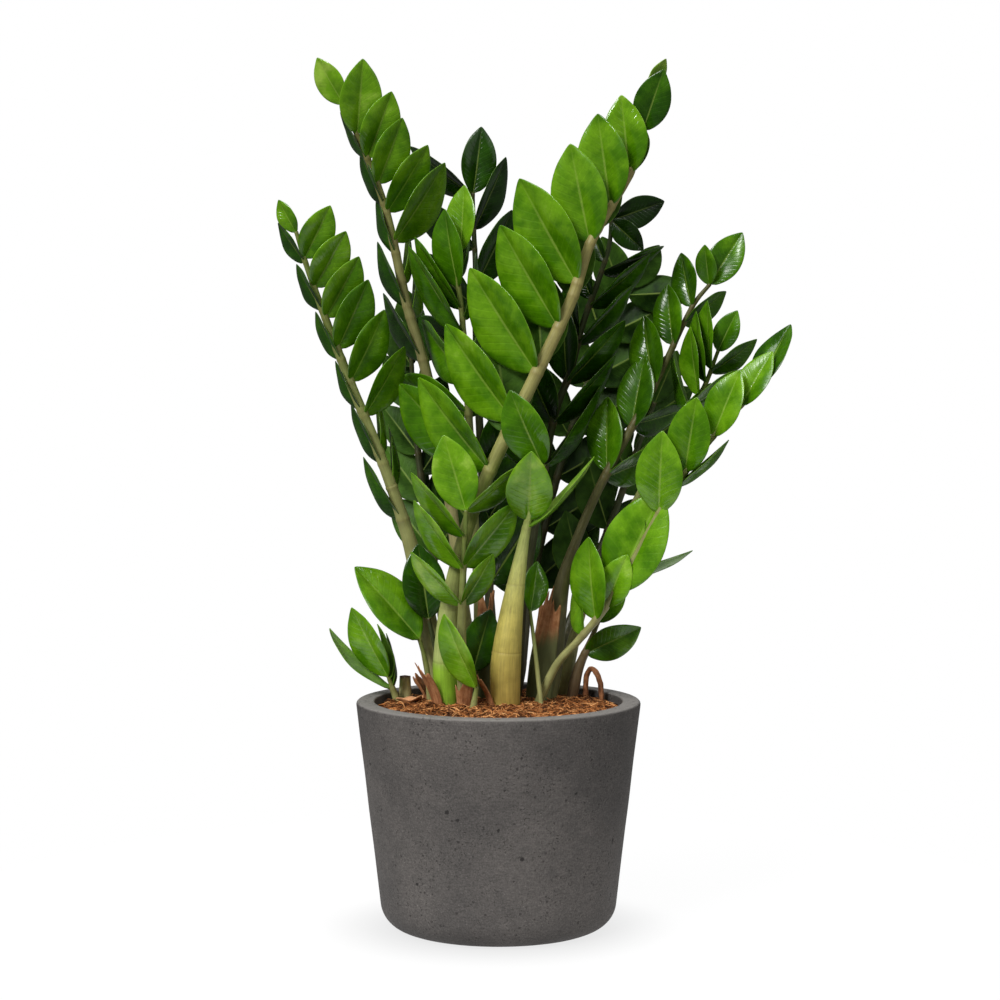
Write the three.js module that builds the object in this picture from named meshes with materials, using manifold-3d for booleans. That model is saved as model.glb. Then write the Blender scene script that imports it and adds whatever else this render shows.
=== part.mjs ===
// Potted ZZ plant: a tapered fibre-stone pot, filled with coconut fibre and bark, and the leafy stems,
// shoots and dry sheaths that stand in it. Millimetres, +Z up, origin at the middle of the pot's foot.
// -Y is the front. Each leafy stem is one solid: its stem and its leaflets joined.
import * as THREE from "three";
import { mergeVertices } from "three/addons/utils/BufferGeometryUtils.js";
import Module from "manifold-3d";

const wasm = await Module();
wasm.setup();

// ---------------------------------------------------------------- driving dimensions
const RIM_RADIUS = 140;
const POT_HEIGHT = 224;
const FOOT_RADIUS = 113.5;
const FOOT_ROUNDING = 26;
const RIM_ROUNDING = 3;
const WALL = 18;
const FLOOR = 16;
const POT_SEGMENTS = 48;

const MIX_DEPTH_BELOW_RIM = 8;
const MIX_MOUND = 5;
const MIX_RELIEF = 1.4;
const MIX_SEGMENTS = 24;
const GAP = 0.4;

const BURIED = 32;
const STEM_SIDES = 5;
const STEM_RING_STEP = 42;
const TAPER_CURVE = 3;
const FOOT_WAIST = 0.14;
const FOOT_WAIST_SHARE = 0.2;

const BLADE_THICKNESS = 0.9;
const BLADE_CLEARANCE = 1.3;
const BLADE_STATIONS = [0, 0.16, 0.43, 0.79, 1];
const BLADE_STATIONS_PAST_ROOT = [0.12, 0.25, 0.5, 0.76, 1];
const BLADE_WIDTH_RATIO = 0.57;
const BLADE_CUP = 18;
const BLADE_CUP_EASING = 0.5;
const BLADE_WIDEST_SHIFT = 0.92;
const BLADE_FULLNESS = 0.72;
const RANK_MIDDLE = 0.4;
const EDGE_ROLLS = [-18, -18];
const CROWDING = 0.12;
const HEIGHT_CLEAR_OF_RIM = 3;

const SHEATH_THICKNESS = 1.2;
const SHEATH_GAP = 1.2;
const SHEATH_SUNK = 6;
const SLOT_DEPTH_INTO_STEM = 5;
const SHEATH_ROWS = 3;
const SHEATH_LANES = 4;
const SHEATH_NARROWING = 0.4;
const SHEATH_NARROWING_CURVE = 1.6;
const SHEATH_RAGGEDNESS = 3.5;
const SHEATH_RAGGED_WAVES = 5;
const SLOT_WIDENING = 12;
const SLOT_CLEARANCE = 1;
const ROOT_RADIUS = 2.8;

const mixTop = POT_HEIGHT - MIX_DEPTH_BELOW_RIM;

// ---------------------------------------------------------------- small helpers
const radians = THREE.MathUtils.degToRad;
const mixNumbers = THREE.MathUtils.lerp;

// Seeded draws between -1 and 1 (mulberry32).
function drawsFrom(seed) {
  let state = seed >>> 0;
  return () => {
    state = (state + 0x6d2b79f5) >>> 0;
    let word = state;
    word = Math.imul(word ^ (word >>> 15), word | 1);
    word ^= word + Math.imul(word ^ (word >>> 7), word | 61);
    return (((word ^ (word >>> 14)) >>> 0) / 4294967296) * 2 - 1;
  };
}

// Three values: at the bottom, at the middle of a rank and at its top.
function threeWay(values, way) {
  const [low, middle, top] = values;
  if (way < RANK_MIDDLE) return mixNumbers(low, middle, way / RANK_MIDDLE);
  return mixNumbers(middle, top, (way - RANK_MIDDLE) / (1 - RANK_MIDDLE));
}

function geometryFrom(positions, triangles) {
  const geometry = new THREE.BufferGeometry();
  geometry.setAttribute("position", new THREE.Float32BufferAttribute(positions, 3));
  geometry.setIndex(triangles);
  return geometry;
}

// A solid for joining and cutting, with shared vertices merged and empty triangles dropped.
function solidFrom(geometry) {
  const bare = new THREE.BufferGeometry();
  bare.setAttribute("position", geometry.getAttribute("position"));
  bare.setIndex(geometry.getIndex());
  const merged = mergeVertices(bare, 1e-4);
  const index = merged.getIndex().array;
  const kept = [];
  for (let i = 0; i < index.length; i += 3) {
    const [a, b, c] = [index[i], index[i + 1], index[i + 2]];
    if (a !== b && b !== c && c !== a) kept.push(a, b, c);
  }
  return new wasm.Manifold(new wasm.Mesh({
    numProp: 3,
    vertProperties: new Float32Array(merged.getAttribute("position").array),
    triVerts: new Uint32Array(kept),
  }));
}

function geometryOf(solid) {
  const mesh = solid.getMesh();
  const geometry = geometryFrom(Array.from(mesh.vertProperties), Array.from(mesh.triVerts));
  geometry.computeVertexNormals();
  return geometry;
}

// ---------------------------------------------------------------- centre lines
// A smooth line through a few points (uniform Catmull-Rom), walked by its length.
const SPAN_STEPS = 12;

class CentreLine {
  constructor(points) {
    const knots = points.map((point) => new THREE.Vector3(...point));
    const before = knots[0].clone().multiplyScalar(2).sub(knots[1]);
    const after = knots.at(-1).clone().multiplyScalar(2).sub(knots.at(-2));
    const all = [before, ...knots, after];
    this.points = [knots[0].clone()];
    for (let span = 1; span < all.length - 2; span += 1) {
      for (let step = 1; step <= SPAN_STEPS; step += 1) {
        this.points.push(CentreLine.blend(all.slice(span - 1, span + 3), step / SPAN_STEPS));
      }
    }
    this.distances = [0];
    for (let i = 1; i < this.points.length; i += 1) {
      this.distances.push(this.distances[i - 1] + this.points[i].distanceTo(this.points[i - 1]));
    }
    this.length = this.distances.at(-1);
  }

  static blend([a, b, c, d], t) {
    const weights = [
      -0.5 * t + t * t - 0.5 * t * t * t,
      1 - 2.5 * t * t + 1.5 * t * t * t,
      0.5 * t + 2 * t * t - 1.5 * t * t * t,
      -0.5 * t * t + 0.5 * t * t * t,
    ];
    const point = new THREE.Vector3();
    [a, b, c, d].forEach((knot, i) => point.addScaledVector(knot, weights[i]));
    return point;
  }

  // The point and the direction at a distance; past either end the line runs on straight.
  at(distance) {
    const last = this.distances.length - 2;
    let i = 0;
    while (i < last && this.distances[i + 1] < distance) i += 1;
    const step = this.distances[i + 1] - this.distances[i];
    const along = this.points[i + 1].clone().sub(this.points[i]).divideScalar(step);
    const point = this.points[i].clone().addScaledVector(along, distance - this.distances[i]);
    return { point, along };
  }
}

// ---------------------------------------------------------------- round stems
// Rings of vertices around a line, closed at both ends by a fan.
function tubeGeometry(line, from, to, radiusAt, sides, step) {
  const rings = Math.max(2, Math.round((to - from) / step) + 1);
  const positions = [];
  const triangles = [];
  let across = null;
  for (let ring = 0; ring < rings; ring += 1) {
    const distance = mixNumbers(from, to, ring / (rings - 1));
    const { point, along } = line.at(distance);
    across = across ?? new THREE.Vector3(1, 0, 0);
    across.addScaledVector(along, -across.dot(along)).normalize();
    const other = along.clone().cross(across);
    for (let side = 0; side < sides; side += 1) {
      const angle = (2 * Math.PI * side) / sides;
      const radius = radiusAt(distance);
      positions.push(...point.clone()
        .addScaledVector(across, Math.cos(angle) * radius)
        .addScaledVector(other, Math.sin(angle) * radius)
        .toArray());
    }
  }
  const start = positions.length / 3;
  positions.push(...line.at(from).point.toArray(), ...line.at(to).point.toArray());
  for (let side = 0; side < sides; side += 1) {
    const next = (side + 1) % sides;
    for (let ring = 0; ring < rings - 1; ring += 1) {
      const low = ring * sides;
      const high = low + sides;
      triangles.push(low + side, low + next, high + next, low + side, high + next, high + side);
    }
    const top = (rings - 1) * sides;
    triangles.push(start, next, side, start + 1, top + side, top + next);
  }
  return geometryFrom(positions, triangles);
}

// The radius of a stem: a swollen base that narrows to the neck, then a taper that quickens to the tip.
function stemRadius(stem, line, distance) {
  const way = THREE.MathUtils.clamp(distance / line.length, 0, 1);
  const taper = mixNumbers(stem.neck, stem.tip, way ** TAPER_CURVE);
  const rise = THREE.MathUtils.clamp(distance / stem.swellLength, 0, 1);
  const waist = 1 - FOOT_WAIST * Math.max(0, 1 - rise / FOOT_WAIST_SHARE);
  return (taper + (stem.swell - stem.neck) * (1 - THREE.MathUtils.smoothstep(rise, 0, 1))) * waist;
}

// ---------------------------------------------------------------- leaflets
// Half the width of a leaflet along its length, as a share of its widest.
function bladeOutline(way) {
  return Math.sin(Math.PI * way ** BLADE_WIDEST_SHIFT) ** BLADE_FULLNESS;
}

// A point on a leaflet: way runs 0 at its root to 1 at its tip, lane -1 to 1 across it.
function bladePoint(leaflet, way, lane) {
  const half = leaflet.width / 2 * bladeOutline(way);
  const side = lane * half;
  const cup = Math.abs(side) * Math.tan(leaflet.cup) * (1 - BLADE_CUP_EASING * way);
  const droop = leaflet.droop * leaflet.length * way * way;
  return leaflet.root.clone()
    .addScaledVector(leaflet.along, leaflet.length * way)
    .addScaledVector(leaflet.across, side)
    .addScaledVector(leaflet.upper, cup - droop);
}

// A closed blade: a point at each end and three lanes between, split alike on both faces.
function bladeGeometry(leaflet, thickness, stations = BLADE_STATIONS) {
  const positions = [];
  const triangles = [];
  const rows = stations.map((way, row) => {
    const ends = row === 0 || row === stations.length - 1;
    return (ends ? [0] : [-1, 0, 1]).map((lane) => bladePoint(leaflet, way, lane));
  });
  for (const face of [0.5, -0.5]) {
    for (const point of rows.flat()) {
      positions.push(...point.clone().addScaledVector(leaflet.upper, face * thickness).toArray());
    }
  }
  const under = rows.flat().length;
  const faces = (a, b, c) => triangles.push(a, b, c, under + a, under + c, under + b);
  const edge = (a, b) => triangles.push(a, b, under + b, a, under + b, under + a);
  const last = under - 1;
  faces(0, 2, 1);
  faces(0, 3, 2);
  edge(0, 1);
  edge(3, 0);
  for (let near = 1; near < last - 3; near += 3) {
    const far = near + 3;
    for (const lane of [0, 1]) {
      faces(near + lane, near + lane + 1, far + lane + 1);
      faces(near + lane, far + lane + 1, far + lane);
    }
    edge(near, far);
    edge(far + 2, near + 2);
  }
  faces(last - 3, last - 2, last);
  faces(last - 2, last - 1, last);
  edge(last - 3, last);
  edge(last, last - 1);
  return geometryFrom(positions, triangles);
}

// Where a leaflet sits: its rank turns about the stem by fold, it opens from the stem by open and
// rolls about its own rib by roll. The stem's face is the side that its upper faces look to.
function poseLeaflet(stem, line, leaflet, change) {
  const { point, along: stemAlong } = line.at(leaflet.at);
  const face = new THREE.Vector3(...stem.face);
  face.addScaledVector(stemAlong, -face.dot(stemAlong)).normalize();
  const right = stemAlong.clone().cross(face);
  const fold = radians(leaflet.fold + change.bend);
  const open = radians(leaflet.open + change.spread);
  const out = right.clone().multiplyScalar(leaflet.side * Math.cos(fold))
    .addScaledVector(face, Math.sin(fold));
  const normal = face.clone().multiplyScalar(Math.cos(fold))
    .addScaledVector(right, -leaflet.side * Math.sin(fold));
  const along = stemAlong.clone().multiplyScalar(Math.cos(open)).addScaledVector(out, Math.sin(open));
  const flat = along.clone().cross(normal);
  const roll = radians(leaflet.roll) * leaflet.side;
  const across = flat.clone().multiplyScalar(Math.cos(roll)).addScaledVector(normal, Math.sin(roll));
  const upper = normal.clone().multiplyScalar(Math.cos(roll)).addScaledVector(flat, -Math.sin(roll));
  const length = leaflet.size * change.scale;
  const width = length * BLADE_WIDTH_RATIO;
  return { ...leaflet, root: point, along, across, upper, length, width };
}

// The leaflets of a stem: those at its tip, then rank by rank from the lowest leaflet up.
function leafletsOf(stem, line) {
  const draw = drawsFrom(stem.seed);
  const found = [];
  const add = (leaflet) => {
    found.push({
      ...leaflet,
      open: leaflet.open + 3 * draw(),
      fold: leaflet.fold + 4 * draw(),
      roll: leaflet.roll + 2 * draw(),
      size: leaflet.size * (1 + 0.04 * draw()),
      cup: radians(BLADE_CUP + 3 * draw()),
      droop: 0.05 + 0.03 * draw(),
    });
  };
  for (const tip of stem.tips) {
    add({
      at: line.length - 1,
      side: 1,
      fold: tip.fold ?? 0,
      open: tip.open,
      size: tip.size,
      roll: tip.roll ?? 0,
    });
  }
  for (const rank of stem.ranks) {
    for (let i = 0; i < rank.count; i += 1) {
      const share = rank.count > 1 ? i / (rank.count - 1) : 0;
      const way = share * (1 + CROWDING - CROWDING * share);
      const rolls = rank.roll ?? EDGE_ROLLS;
      add({
        at: mixNumbers(rank.from, rank.to, way),
        side: rank.side,
        fold: mixNumbers(rank.fold[0], rank.fold[1], way),
        open: threeWay(rank.open, way),
        size: threeWay(rank.sizes, way),
        roll: mixNumbers(rolls[0], rolls[1], way),
      });
    }
  }
  return found;
}

// ---------------------------------------------------------------- keeping clear of each other
// A closed shape as triangles and edges, to tell whether two of them cross.
function shellOf(geometry) {
  const position = geometry.getAttribute("position");
  const index = geometry.getIndex().array;
  const corner = (i) => new THREE.Vector3().fromBufferAttribute(position, i);
  const triangles = [];
  const edges = new Map();
  for (let i = 0; i < index.length; i += 3) {
    const ids = [index[i], index[i + 1], index[i + 2]];
    triangles.push(ids.map(corner));
    ids.forEach((id, k) => {
      const other = ids[(k + 1) % 3];
      edges.set(`${Math.min(id, other)} ${Math.max(id, other)}`, [corner(id), corner(other)]);
    });
  }
  const box = new THREE.Box3().setFromBufferAttribute(position);
  return { triangles, edges: [...edges.values()], box };
}

function edgePierces([start, end], [a, b, c]) {
  const ray = end.clone().sub(start);
  const ab = b.clone().sub(a);
  const ac = c.clone().sub(a);
  const p = ray.clone().cross(ac);
  const det = ab.dot(p);
  if (Math.abs(det) < 1e-9) return false;
  const t = start.clone().sub(a);
  const u = t.dot(p) / det;
  if (u < 0 || u > 1) return false;
  const q = t.cross(ab);
  const v = ray.dot(q) / det;
  if (v < 0 || u + v > 1) return false;
  const w = ac.dot(q) / det;
  return w >= 0 && w <= 1;
}

function shellsCross(one, two) {
  if (!one.box.intersectsBox(two.box)) return false;
  const pierced = (from, into) => from.edges.some((edge) => {
    const reach = new THREE.Box3().setFromPoints(edge);
    return reach.intersectsBox(into.box) && into.triangles.some((triangle) => edgePierces(edge, triangle));
  });
  return pierced(one, two) || pierced(two, one);
}

// A leaflet stays above the pot's rim and above the mix.
function meetsPot(shell) {
  return shell.box.min.z < POT_HEIGHT + HEIGHT_CLEAR_OF_RIM;
}

// Changes tried in turn where a leaflet would cross another stem: bend its rank, spread it, shrink it.
const CHANGES = [];
for (const scale of [1, 0.86, 0.72, 0.58]) {
  for (const bend of [0, 10, -10, 20, -20, 32, -32, 46, -46]) {
    for (const spread of [0, 9, -9, 18, -18]) CHANGES.push({ scale, bend, spread });
  }
}

// ---------------------------------------------------------------- the plant's stems
// path: points on the centre line from the mix's surface up to the root of the tip leaflet.
// A rank holds count leaflets from one distance along the stem to another. open is how wide they open,
// sizes how long they are, fold how far they turn from the stem's side towards its face, all from low
// to high. side is 1 for the right rank and -1 for the left.
const STEMS = [
  {
    name: "stem_front_centre", seed: 11, face: [0, -1, 0.2],
    path: [[7, -14, 219], [7, -16, 260], [13, -20, 314], [21, -25, 363], [28, -34, 400], [35, -47, 430],
      [43, -58, 458]],
    swell: 17, swellLength: 215, neck: 4.6, tip: 2,
    ranks: [
      {
        side: -1, count: 1, from: 188, to: 188, open: [20, 20, 20], fold: [64, 64],
        sizes: [80, 80, 80], roll: [-60, -60],
      },
      {
        side: 1, count: 1, from: 180, to: 180, open: [28, 28, 28], fold: [-24, -24],
        sizes: [98, 98, 98], roll: [-58, -58],
      },
    ],
    tips: [{ open: -40, size: 80, roll: 10 }],
  },
  {
    name: "shoot_front_low", seed: 36, face: [0.1, -1, -0.1],
    path: [[-25, -36, 217], [-23, -38, 230], [-21, -40, 242]],
    swell: 4, swellLength: 20, neck: 2.6, tip: 1.8,
    ranks: [],
    tips: [{ open: -38, size: 82, roll: 48 }],
  },
  {
    name: "shoot_dark_centre", seed: 37, face: [-0.1, -1, 0.1], dark: true,
    path: [[-24, 12, 218], [-25, 9, 236], [-25, 7, 252]],
    swell: 4, swellLength: 20, neck: 2.6, tip: 1.8,
    ranks: [],
    tips: [{ open: 6, size: 64 }],
  },
  {
    name: "stem_front_left", seed: 12, face: [-0.1, -1, 0.2],
    path: [[-34, -16, 220], [-36, -26, 275], [-35, -37, 325], [-33, -45, 375], [-31, -50, 414]],
    swell: 6, swellLength: 170, neck: 3.4, tip: 2.2,
    ranks: [
      {
        side: -1, count: 3, from: 103, to: 171, open: [48, 34, 46], fold: [11, 6],
        sizes: [72, 79, 84], roll: [-55, -55],
      },
      {
        side: 1, count: 2, from: 103, to: 141, open: [34, 44, 40], fold: [-20, -18],
        sizes: [58, 70, 80], roll: [-26, -28],
      },
    ],
    tips: [{ open: -18, size: 74 }, { open: 51, size: 70, fold: -15, roll: -49 }],
  },
  {
    name: "stem_front_tall", seed: 13, face: [-0.1, -1, 0.15],
    path: [[-50, 3, 219], [-52, 0, 263], [-47, -8, 323], [-31, -22, 393], [-8, -34, 452], [34, -48, 540],
      [69, -56, 614], [87, -58, 668], [109, -58, 707], [126, -56, 737], [137, -54, 774], [139, -52, 812]],
    swell: 14, swellLength: 170, neck: 7.4, tip: 2.2,
    ranks: [
      {
        side: -1, count: 5, from: 242, to: 441, open: [70, 66, 49], fold: [-6, 4],
        sizes: [113, 120, 112], roll: [-35, -30],
      },
      {
        side: -1, count: 3, from: 481, to: 556, open: [38, 42, 36], fold: [18, 26],
        sizes: [96, 94, 78], roll: [-24, -24],
      },
      {
        side: 1, count: 1, from: 600, to: 600, open: [22, 22, 22], fold: [60, 60],
        sizes: [62, 62, 62], roll: [-60, -60],
      },
      {
        side: 1, count: 5, from: 282, to: 560, open: [50, 46, 30], fold: [-150, -130],
        sizes: [104, 90, 60],
      },
    ],
    tips: [{ open: 30, size: 40, roll: -52 }],
  },
  {
    name: "stem_right_arching", seed: 14, face: [-0.3, -1, 0.35],
    path: [[39, 8, 220], [57, -4, 259], [77, -14, 283], [101, -26, 314], [128, -38, 360], [161, -52, 424],
      [193, -60, 470], [227, -64, 510], [247, -64, 529]],
    swell: 5, swellLength: 60, neck: 4, tip: 2,
    ranks: [
      {
        side: -1, count: 1, from: 142, to: 142, open: [6, 6, 6], fold: [18, 18],
        sizes: [108, 108, 108], roll: [-13, -13],
      },
      {
        side: -1, count: 3, from: 88, to: 124, open: [86, 56, 12], fold: [-24, 50],
        sizes: [84, 88, 60], roll: [-25, -40],
      },
      {
        side: -1, count: 4, from: 232, to: 362, open: [30, 30, 9], fold: [50, 40],
        sizes: [84, 74, 62], roll: [-34, -50],
      },
      {
        side: -1, count: 2, from: 170, to: 205, open: [50, 50, 50], fold: [-30, -30],
        sizes: [76, 76, 76],
      },
      {
        side: 1, count: 2, from: 165, to: 262, open: [32, 8, 0], fold: [-36, -36],
        sizes: [66, 70, 66], roll: [-48, -62],
      },
    ],
    tips: [{ open: -25, size: 76, fold: 11, roll: 24 }],
  },
  {
    name: "stem_far_left", seed: 15, face: [0.15, -1, 0.1],
    path: [[-58, 45, 214], [-68, 38, 278], [-86, 25, 371], [-114, 12, 458], [-144, 2, 534], [-170, -6, 603],
      [-187, -10, 652], [-196, -12, 682]],
    swell: 12.5, swellLength: 250, neck: 6.2, tip: 2,
    ranks: [
      {
        side: 1, count: 6, from: 302, to: 466, open: [53, 52, 50], fold: [0, 35],
        sizes: [80, 79, 58], roll: [-40, -32],
      },
      {
        side: 1, count: 2, from: 226, to: 262, open: [46, 46, 46], fold: [-56, -50],
        sizes: [78, 78, 78],
      },
      {
        side: -1, count: 6, from: 192, to: 462, open: [28, 13, 22], fold: [-62, -58],
        sizes: [78, 54, 52],
      },
    ],
    tips: [{ open: -12, size: 36, roll: 38 }],
  },
  {
    name: "stem_centre_left", seed: 16, face: [-0.1, -1, 0.2],
    path: [[-16, 36, 216], [-20, 22, 320], [-27, 4, 469], [-35, -12, 597], [-39, -18, 635],
      [-36, -20, 663]],
    swell: 10, swellLength: 120, neck: 4.6, tip: 2,
    ranks: [
      {
        side: -1, count: 3, from: 371, to: 416, open: [48, 48, 21], fold: [-20, 14],
        sizes: [98, 82, 78], roll: [-41, -54],
      },
      { side: -1, count: 2, from: 292, to: 326, open: [54, 54, 54], fold: [0, 0], sizes: [92, 92, 92] },
      {
        side: 1, count: 4, from: 290, to: 425, open: [44, 40, 30], fold: [-70, -60],
        sizes: [80, 80, 68],
      },
      {
        side: -1, count: 1, from: 246, to: 246, open: [58, 58, 58], fold: [0, 0],
        sizes: [104, 104, 104],
      },
    ],
    tips: [{ open: -5, size: 65, roll: 31 }],
  },
  {
    name: "stem_upper_left", seed: 17, face: [0.15, -1, 0.1],
    path: [[-28, 62, 215], [-35, 58, 296], [-51, 48, 438], [-72, 34, 547], [-91, 24, 616], [-109, 14, 700],
      [-128, 6, 755], [-142, 1, 786], [-150, -2, 806]],
    swell: 12, swellLength: 140, neck: 6.4, tip: 2,
    ranks: [
      {
        side: 1, count: 5, from: 467, to: 578, open: [48, 52, 42], fold: [0, 36],
        sizes: [92, 68, 72], roll: [-42, -28],
      },
      {
        side: -1, count: 5, from: 348, to: 552, open: [34, 17, 19], fold: [-58, -66],
        sizes: [84, 62, 54],
      },
      {
        side: 1, count: 2, from: 392, to: 428, open: [50, 50, 50], fold: [-60, -50],
        sizes: [84, 84, 84],
      },
    ],
    tips: [{ open: -11, size: 53, roll: 36 }],
  },
  {
    name: "stem_right", seed: 18, face: [-0.2, -1, 0.3],
    path: [[62, 76, 218], [88, 64, 316], [127, 44, 398], [168, 22, 478], [199, 6, 527], [214, -6, 567]],
    swell: 9, swellLength: 110, neck: 4.4, tip: 1.8,
    ranks: [
      {
        side: -1, count: 4, from: 326, to: 372, open: [80, 60, 44], fold: [-11, 40],
        sizes: [96, 68, 70], roll: [-42, -54],
      },
      {
        side: 1, count: 3, from: 290, to: 369, open: [10, 20, 30], fold: [-40, -30],
        sizes: [70, 62, 56], roll: [-24, -33],
      },
    ],
    tips: [{ open: 4, size: 46 }],
  },
  {
    name: "stem_upper_right", seed: 19, face: [-0.2, -1, 0.3],
    path: [[44, 40, 221], [58, 38, 308], [70, 36, 358], [96, 32, 423], [130, 26, 488], [156, 22, 537],
      [188, 16, 606], [207, 12, 632]],
    swell: 17, swellLength: 170, neck: 5, tip: 2,
    ranks: [
      { side: -1, count: 5, from: 236, to: 419, open: [30, 38, 40], fold: [0, 0], sizes: [78, 74, 56] },
      {
        side: 1, count: 4, from: 230, to: 400, open: [50, 46, 36], fold: [-50, -50],
        sizes: [80, 76, 58],
      },
    ],
    tips: [{ open: -3, size: 59, roll: -10 }, { open: -30, size: 40, fold: -30, roll: 40 }],
  },
  {
    name: "stem_dark_behind", seed: 20, face: [0.2, -1, 0.3], dark: true,
    path: [[14, 48, 217], [22, 44, 298], [37, 36, 398], [54, 22, 498], [71, 14, 547], [82, 10, 591],
      [99, 6, 639], [108, 4, 669], [110, 4, 695]],
    swell: 10, swellLength: 120, neck: 4.6, tip: 2,
    ranks: [
      {
        side: 1, count: 6, from: 238, to: 440, open: [48, 28, 46], fold: [2, -12],
        sizes: [100, 87, 74], roll: [-54, -47],
      },
      {
        side: -1, count: 6, from: 236, to: 450, open: [44, 26, 50], fold: [-10, -40],
        sizes: [86, 76, 34],
      },
    ],
    tips: [{ open: 66, size: 58, roll: -20 }, { open: 128, size: 42, fold: 20 }],
  },
  {
    name: "stem_back_centre", seed: 21, face: [0, -1, 0.2], dark: true,
    path: [[-10, 88, 217], [-9, 96, 313], [-18, 104, 465], [-23, 104, 587], [-23, 102, 642], [-25, 102, 689],
      [-26, 100, 726]],
    swell: 11, swellLength: 120, neck: 4.6, tip: 2,
    ranks: [
      { side: 1, count: 3, from: 112, to: 230, open: [34, 34, 34], fold: [0, 0], sizes: [90, 90, 90] },
      { side: -1, count: 2, from: 150, to: 230, open: [34, 34, 34], fold: [0, 0], sizes: [84, 84, 84] },
      {
        side: 1, count: 4, from: 290, to: 473, open: [46, 40, 18], fold: [-10, -10],
        sizes: [84, 82, 84], roll: [-18, -52],
      },
      {
        side: -1, count: 4, from: 330, to: 508, open: [46, 44, 52], fold: [-10, -10],
        sizes: [80, 82, 84], roll: [-18, -52],
      },
    ],
    tips: [{ open: 11, size: 69, fold: -8, roll: -13 }],
  },
  {
    name: "stem_back_left", seed: 22, face: [0.2, 1, 0.3], dark: true,
    path: [[-44, 92, 216], [-60, 108, 311], [-76, 122, 413], [-86, 130, 495], [-90, 130, 572]],
    swell: 10, swellLength: 110, neck: 4.4, tip: 2,
    ranks: [
      { side: 1, count: 5, from: 150, to: 340, open: [34, 34, 28], fold: [20, 20], sizes: [76, 72, 60] },
      { side: -1, count: 6, from: 140, to: 348, open: [40, 44, 36], fold: [10, 0], sizes: [80, 76, 60] },
    ],
    tips: [{ open: 0, size: 60 }],
  },
  {
    name: "stem_back_right", seed: 23, face: [-0.1, 1, 0.3], dark: true,
    path: [[46, 93, 219], [82, 108, 311], [116, 114, 393], [141, 112, 465], [159, 106, 514]],
    swell: 10, swellLength: 110, neck: 4.4, tip: 2,
    ranks: [
      { side: 1, count: 4, from: 116, to: 290, open: [38, 42, 36], fold: [0, 0], sizes: [84, 78, 60] },
      { side: -1, count: 5, from: 130, to: 300, open: [38, 38, 32], fold: [20, 20], sizes: [76, 70, 58] },
    ],
    tips: [{ open: 0, size: 60 }],
  },
  {
    name: "stem_back_middle", seed: 24, face: [0.1, 1, 0.3], dark: true,
    path: [[16, 102, 220], [31, 119, 310], [54, 136, 412], [85, 140, 515], [117, 132, 598], [137, 124, 632]],
    swell: 10, swellLength: 110, neck: 4.4, tip: 2,
    ranks: [
      { side: 1, count: 7, from: 96, to: 420, open: [40, 46, 42], fold: [0, 0], sizes: [94, 90, 70] },
      { side: -1, count: 7, from: 110, to: 426, open: [40, 46, 42], fold: [0, 0], sizes: [94, 90, 70] },
    ],
    tips: [{ open: 0, size: 54 }],
  },
  {
    name: "shoot_low_left", seed: 31, face: [-0.1, -1, 0.3],
    path: [[-101, 40, 216], [-106, 38, 231], [-110, 36, 243]],
    swell: 4, swellLength: 26, neck: 2.6, tip: 1.8,
    ranks: [
      {
        side: -1, count: 1, from: 14, to: 14, open: [31, 31, 31], fold: [-48, -48],
        sizes: [94, 94, 94], roll: [-52, -52],
      },
      {
        side: 1, count: 2, from: 16, to: 24, open: [30, 34, 34], fold: [-60, -46],
        sizes: [58, 56, 56], roll: [-30, -48],
      },
    ],
    tips: [{ open: -12, size: 82, fold: 15, roll: 22 }],
  },
  {
    name: "shoot_left", seed: 32, face: [-0.3, -1, 0.4],
    path: [[-67, 18, 217], [-71, 14, 255], [-78, 10, 283]],
    swell: 4, swellLength: 40, neck: 2.6, tip: 2,
    ranks: [],
    tips: [{ open: -24, size: 94, fold: -10, roll: -50 }],
  },
  {
    name: "shoot_dark_left", seed: 33, face: [0.1, -1, 0.1], dark: true,
    path: [[-52, 24, 216], [-60, 20, 260], [-69, 14, 303]],
    swell: 4, swellLength: 40, neck: 2.6, tip: 2,
    ranks: [],
    tips: [{ open: 4, size: 79 }],
  },
  {
    name: "shoot_brown_right", seed: 34, face: [0, -1, 0.4],
    path: [[74, 56, 220], [80, 55, 247], [90, 52, 271], [100, 48, 296]],
    swell: 6.5, swellLength: 70, neck: 3.6, tip: 2,
    ranks: [
      { side: 1, count: 1, from: 46, to: 46, open: [40, 40, 40], fold: [0, 0], sizes: [64, 64, 64] },
    ],
    tips: [{ open: 4, size: 54 }],
  },
  {
    name: "cut_stub", seed: 38, face: [0, -1, 0], brown: true,
    path: [[-94, 58, 216], [-94, 59, 227], [-94, 60, 240]],
    swell: 6.8, swellLength: 18, neck: 6.2, tip: 5.8,
    ranks: [],
    tips: [],
  },
  {
    name: "shoot_thin_centre", seed: 35, face: [0.6, -1, 0.1],
    path: [[42, -10, 218], [36, -6, 273], [31, -2, 312]],
    swell: 2.6, swellLength: 60, neck: 2.2, tip: 1.6,
    ranks: [],
    tips: [{ open: 22, size: 50 }],
  },
];

// ---------------------------------------------------------------- growing the plant
function growStem(stem) {
  const line = new CentreLine(stem.path);
  const radiusAt = (distance) => stemRadius(stem, line, distance);
  const make = (extra, from, to) => tubeGeometry(
    line, from, to, (distance) => radiusAt(distance) + extra, STEM_SIDES, STEM_RING_STEP,
  );
  return { stem, line, make };
}

const grown = STEMS.map(growStem);
const stemShells = grown.map(({ line, make }) => shellOf(make(BLADE_CLEARANCE, 0, line.length)));

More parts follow.
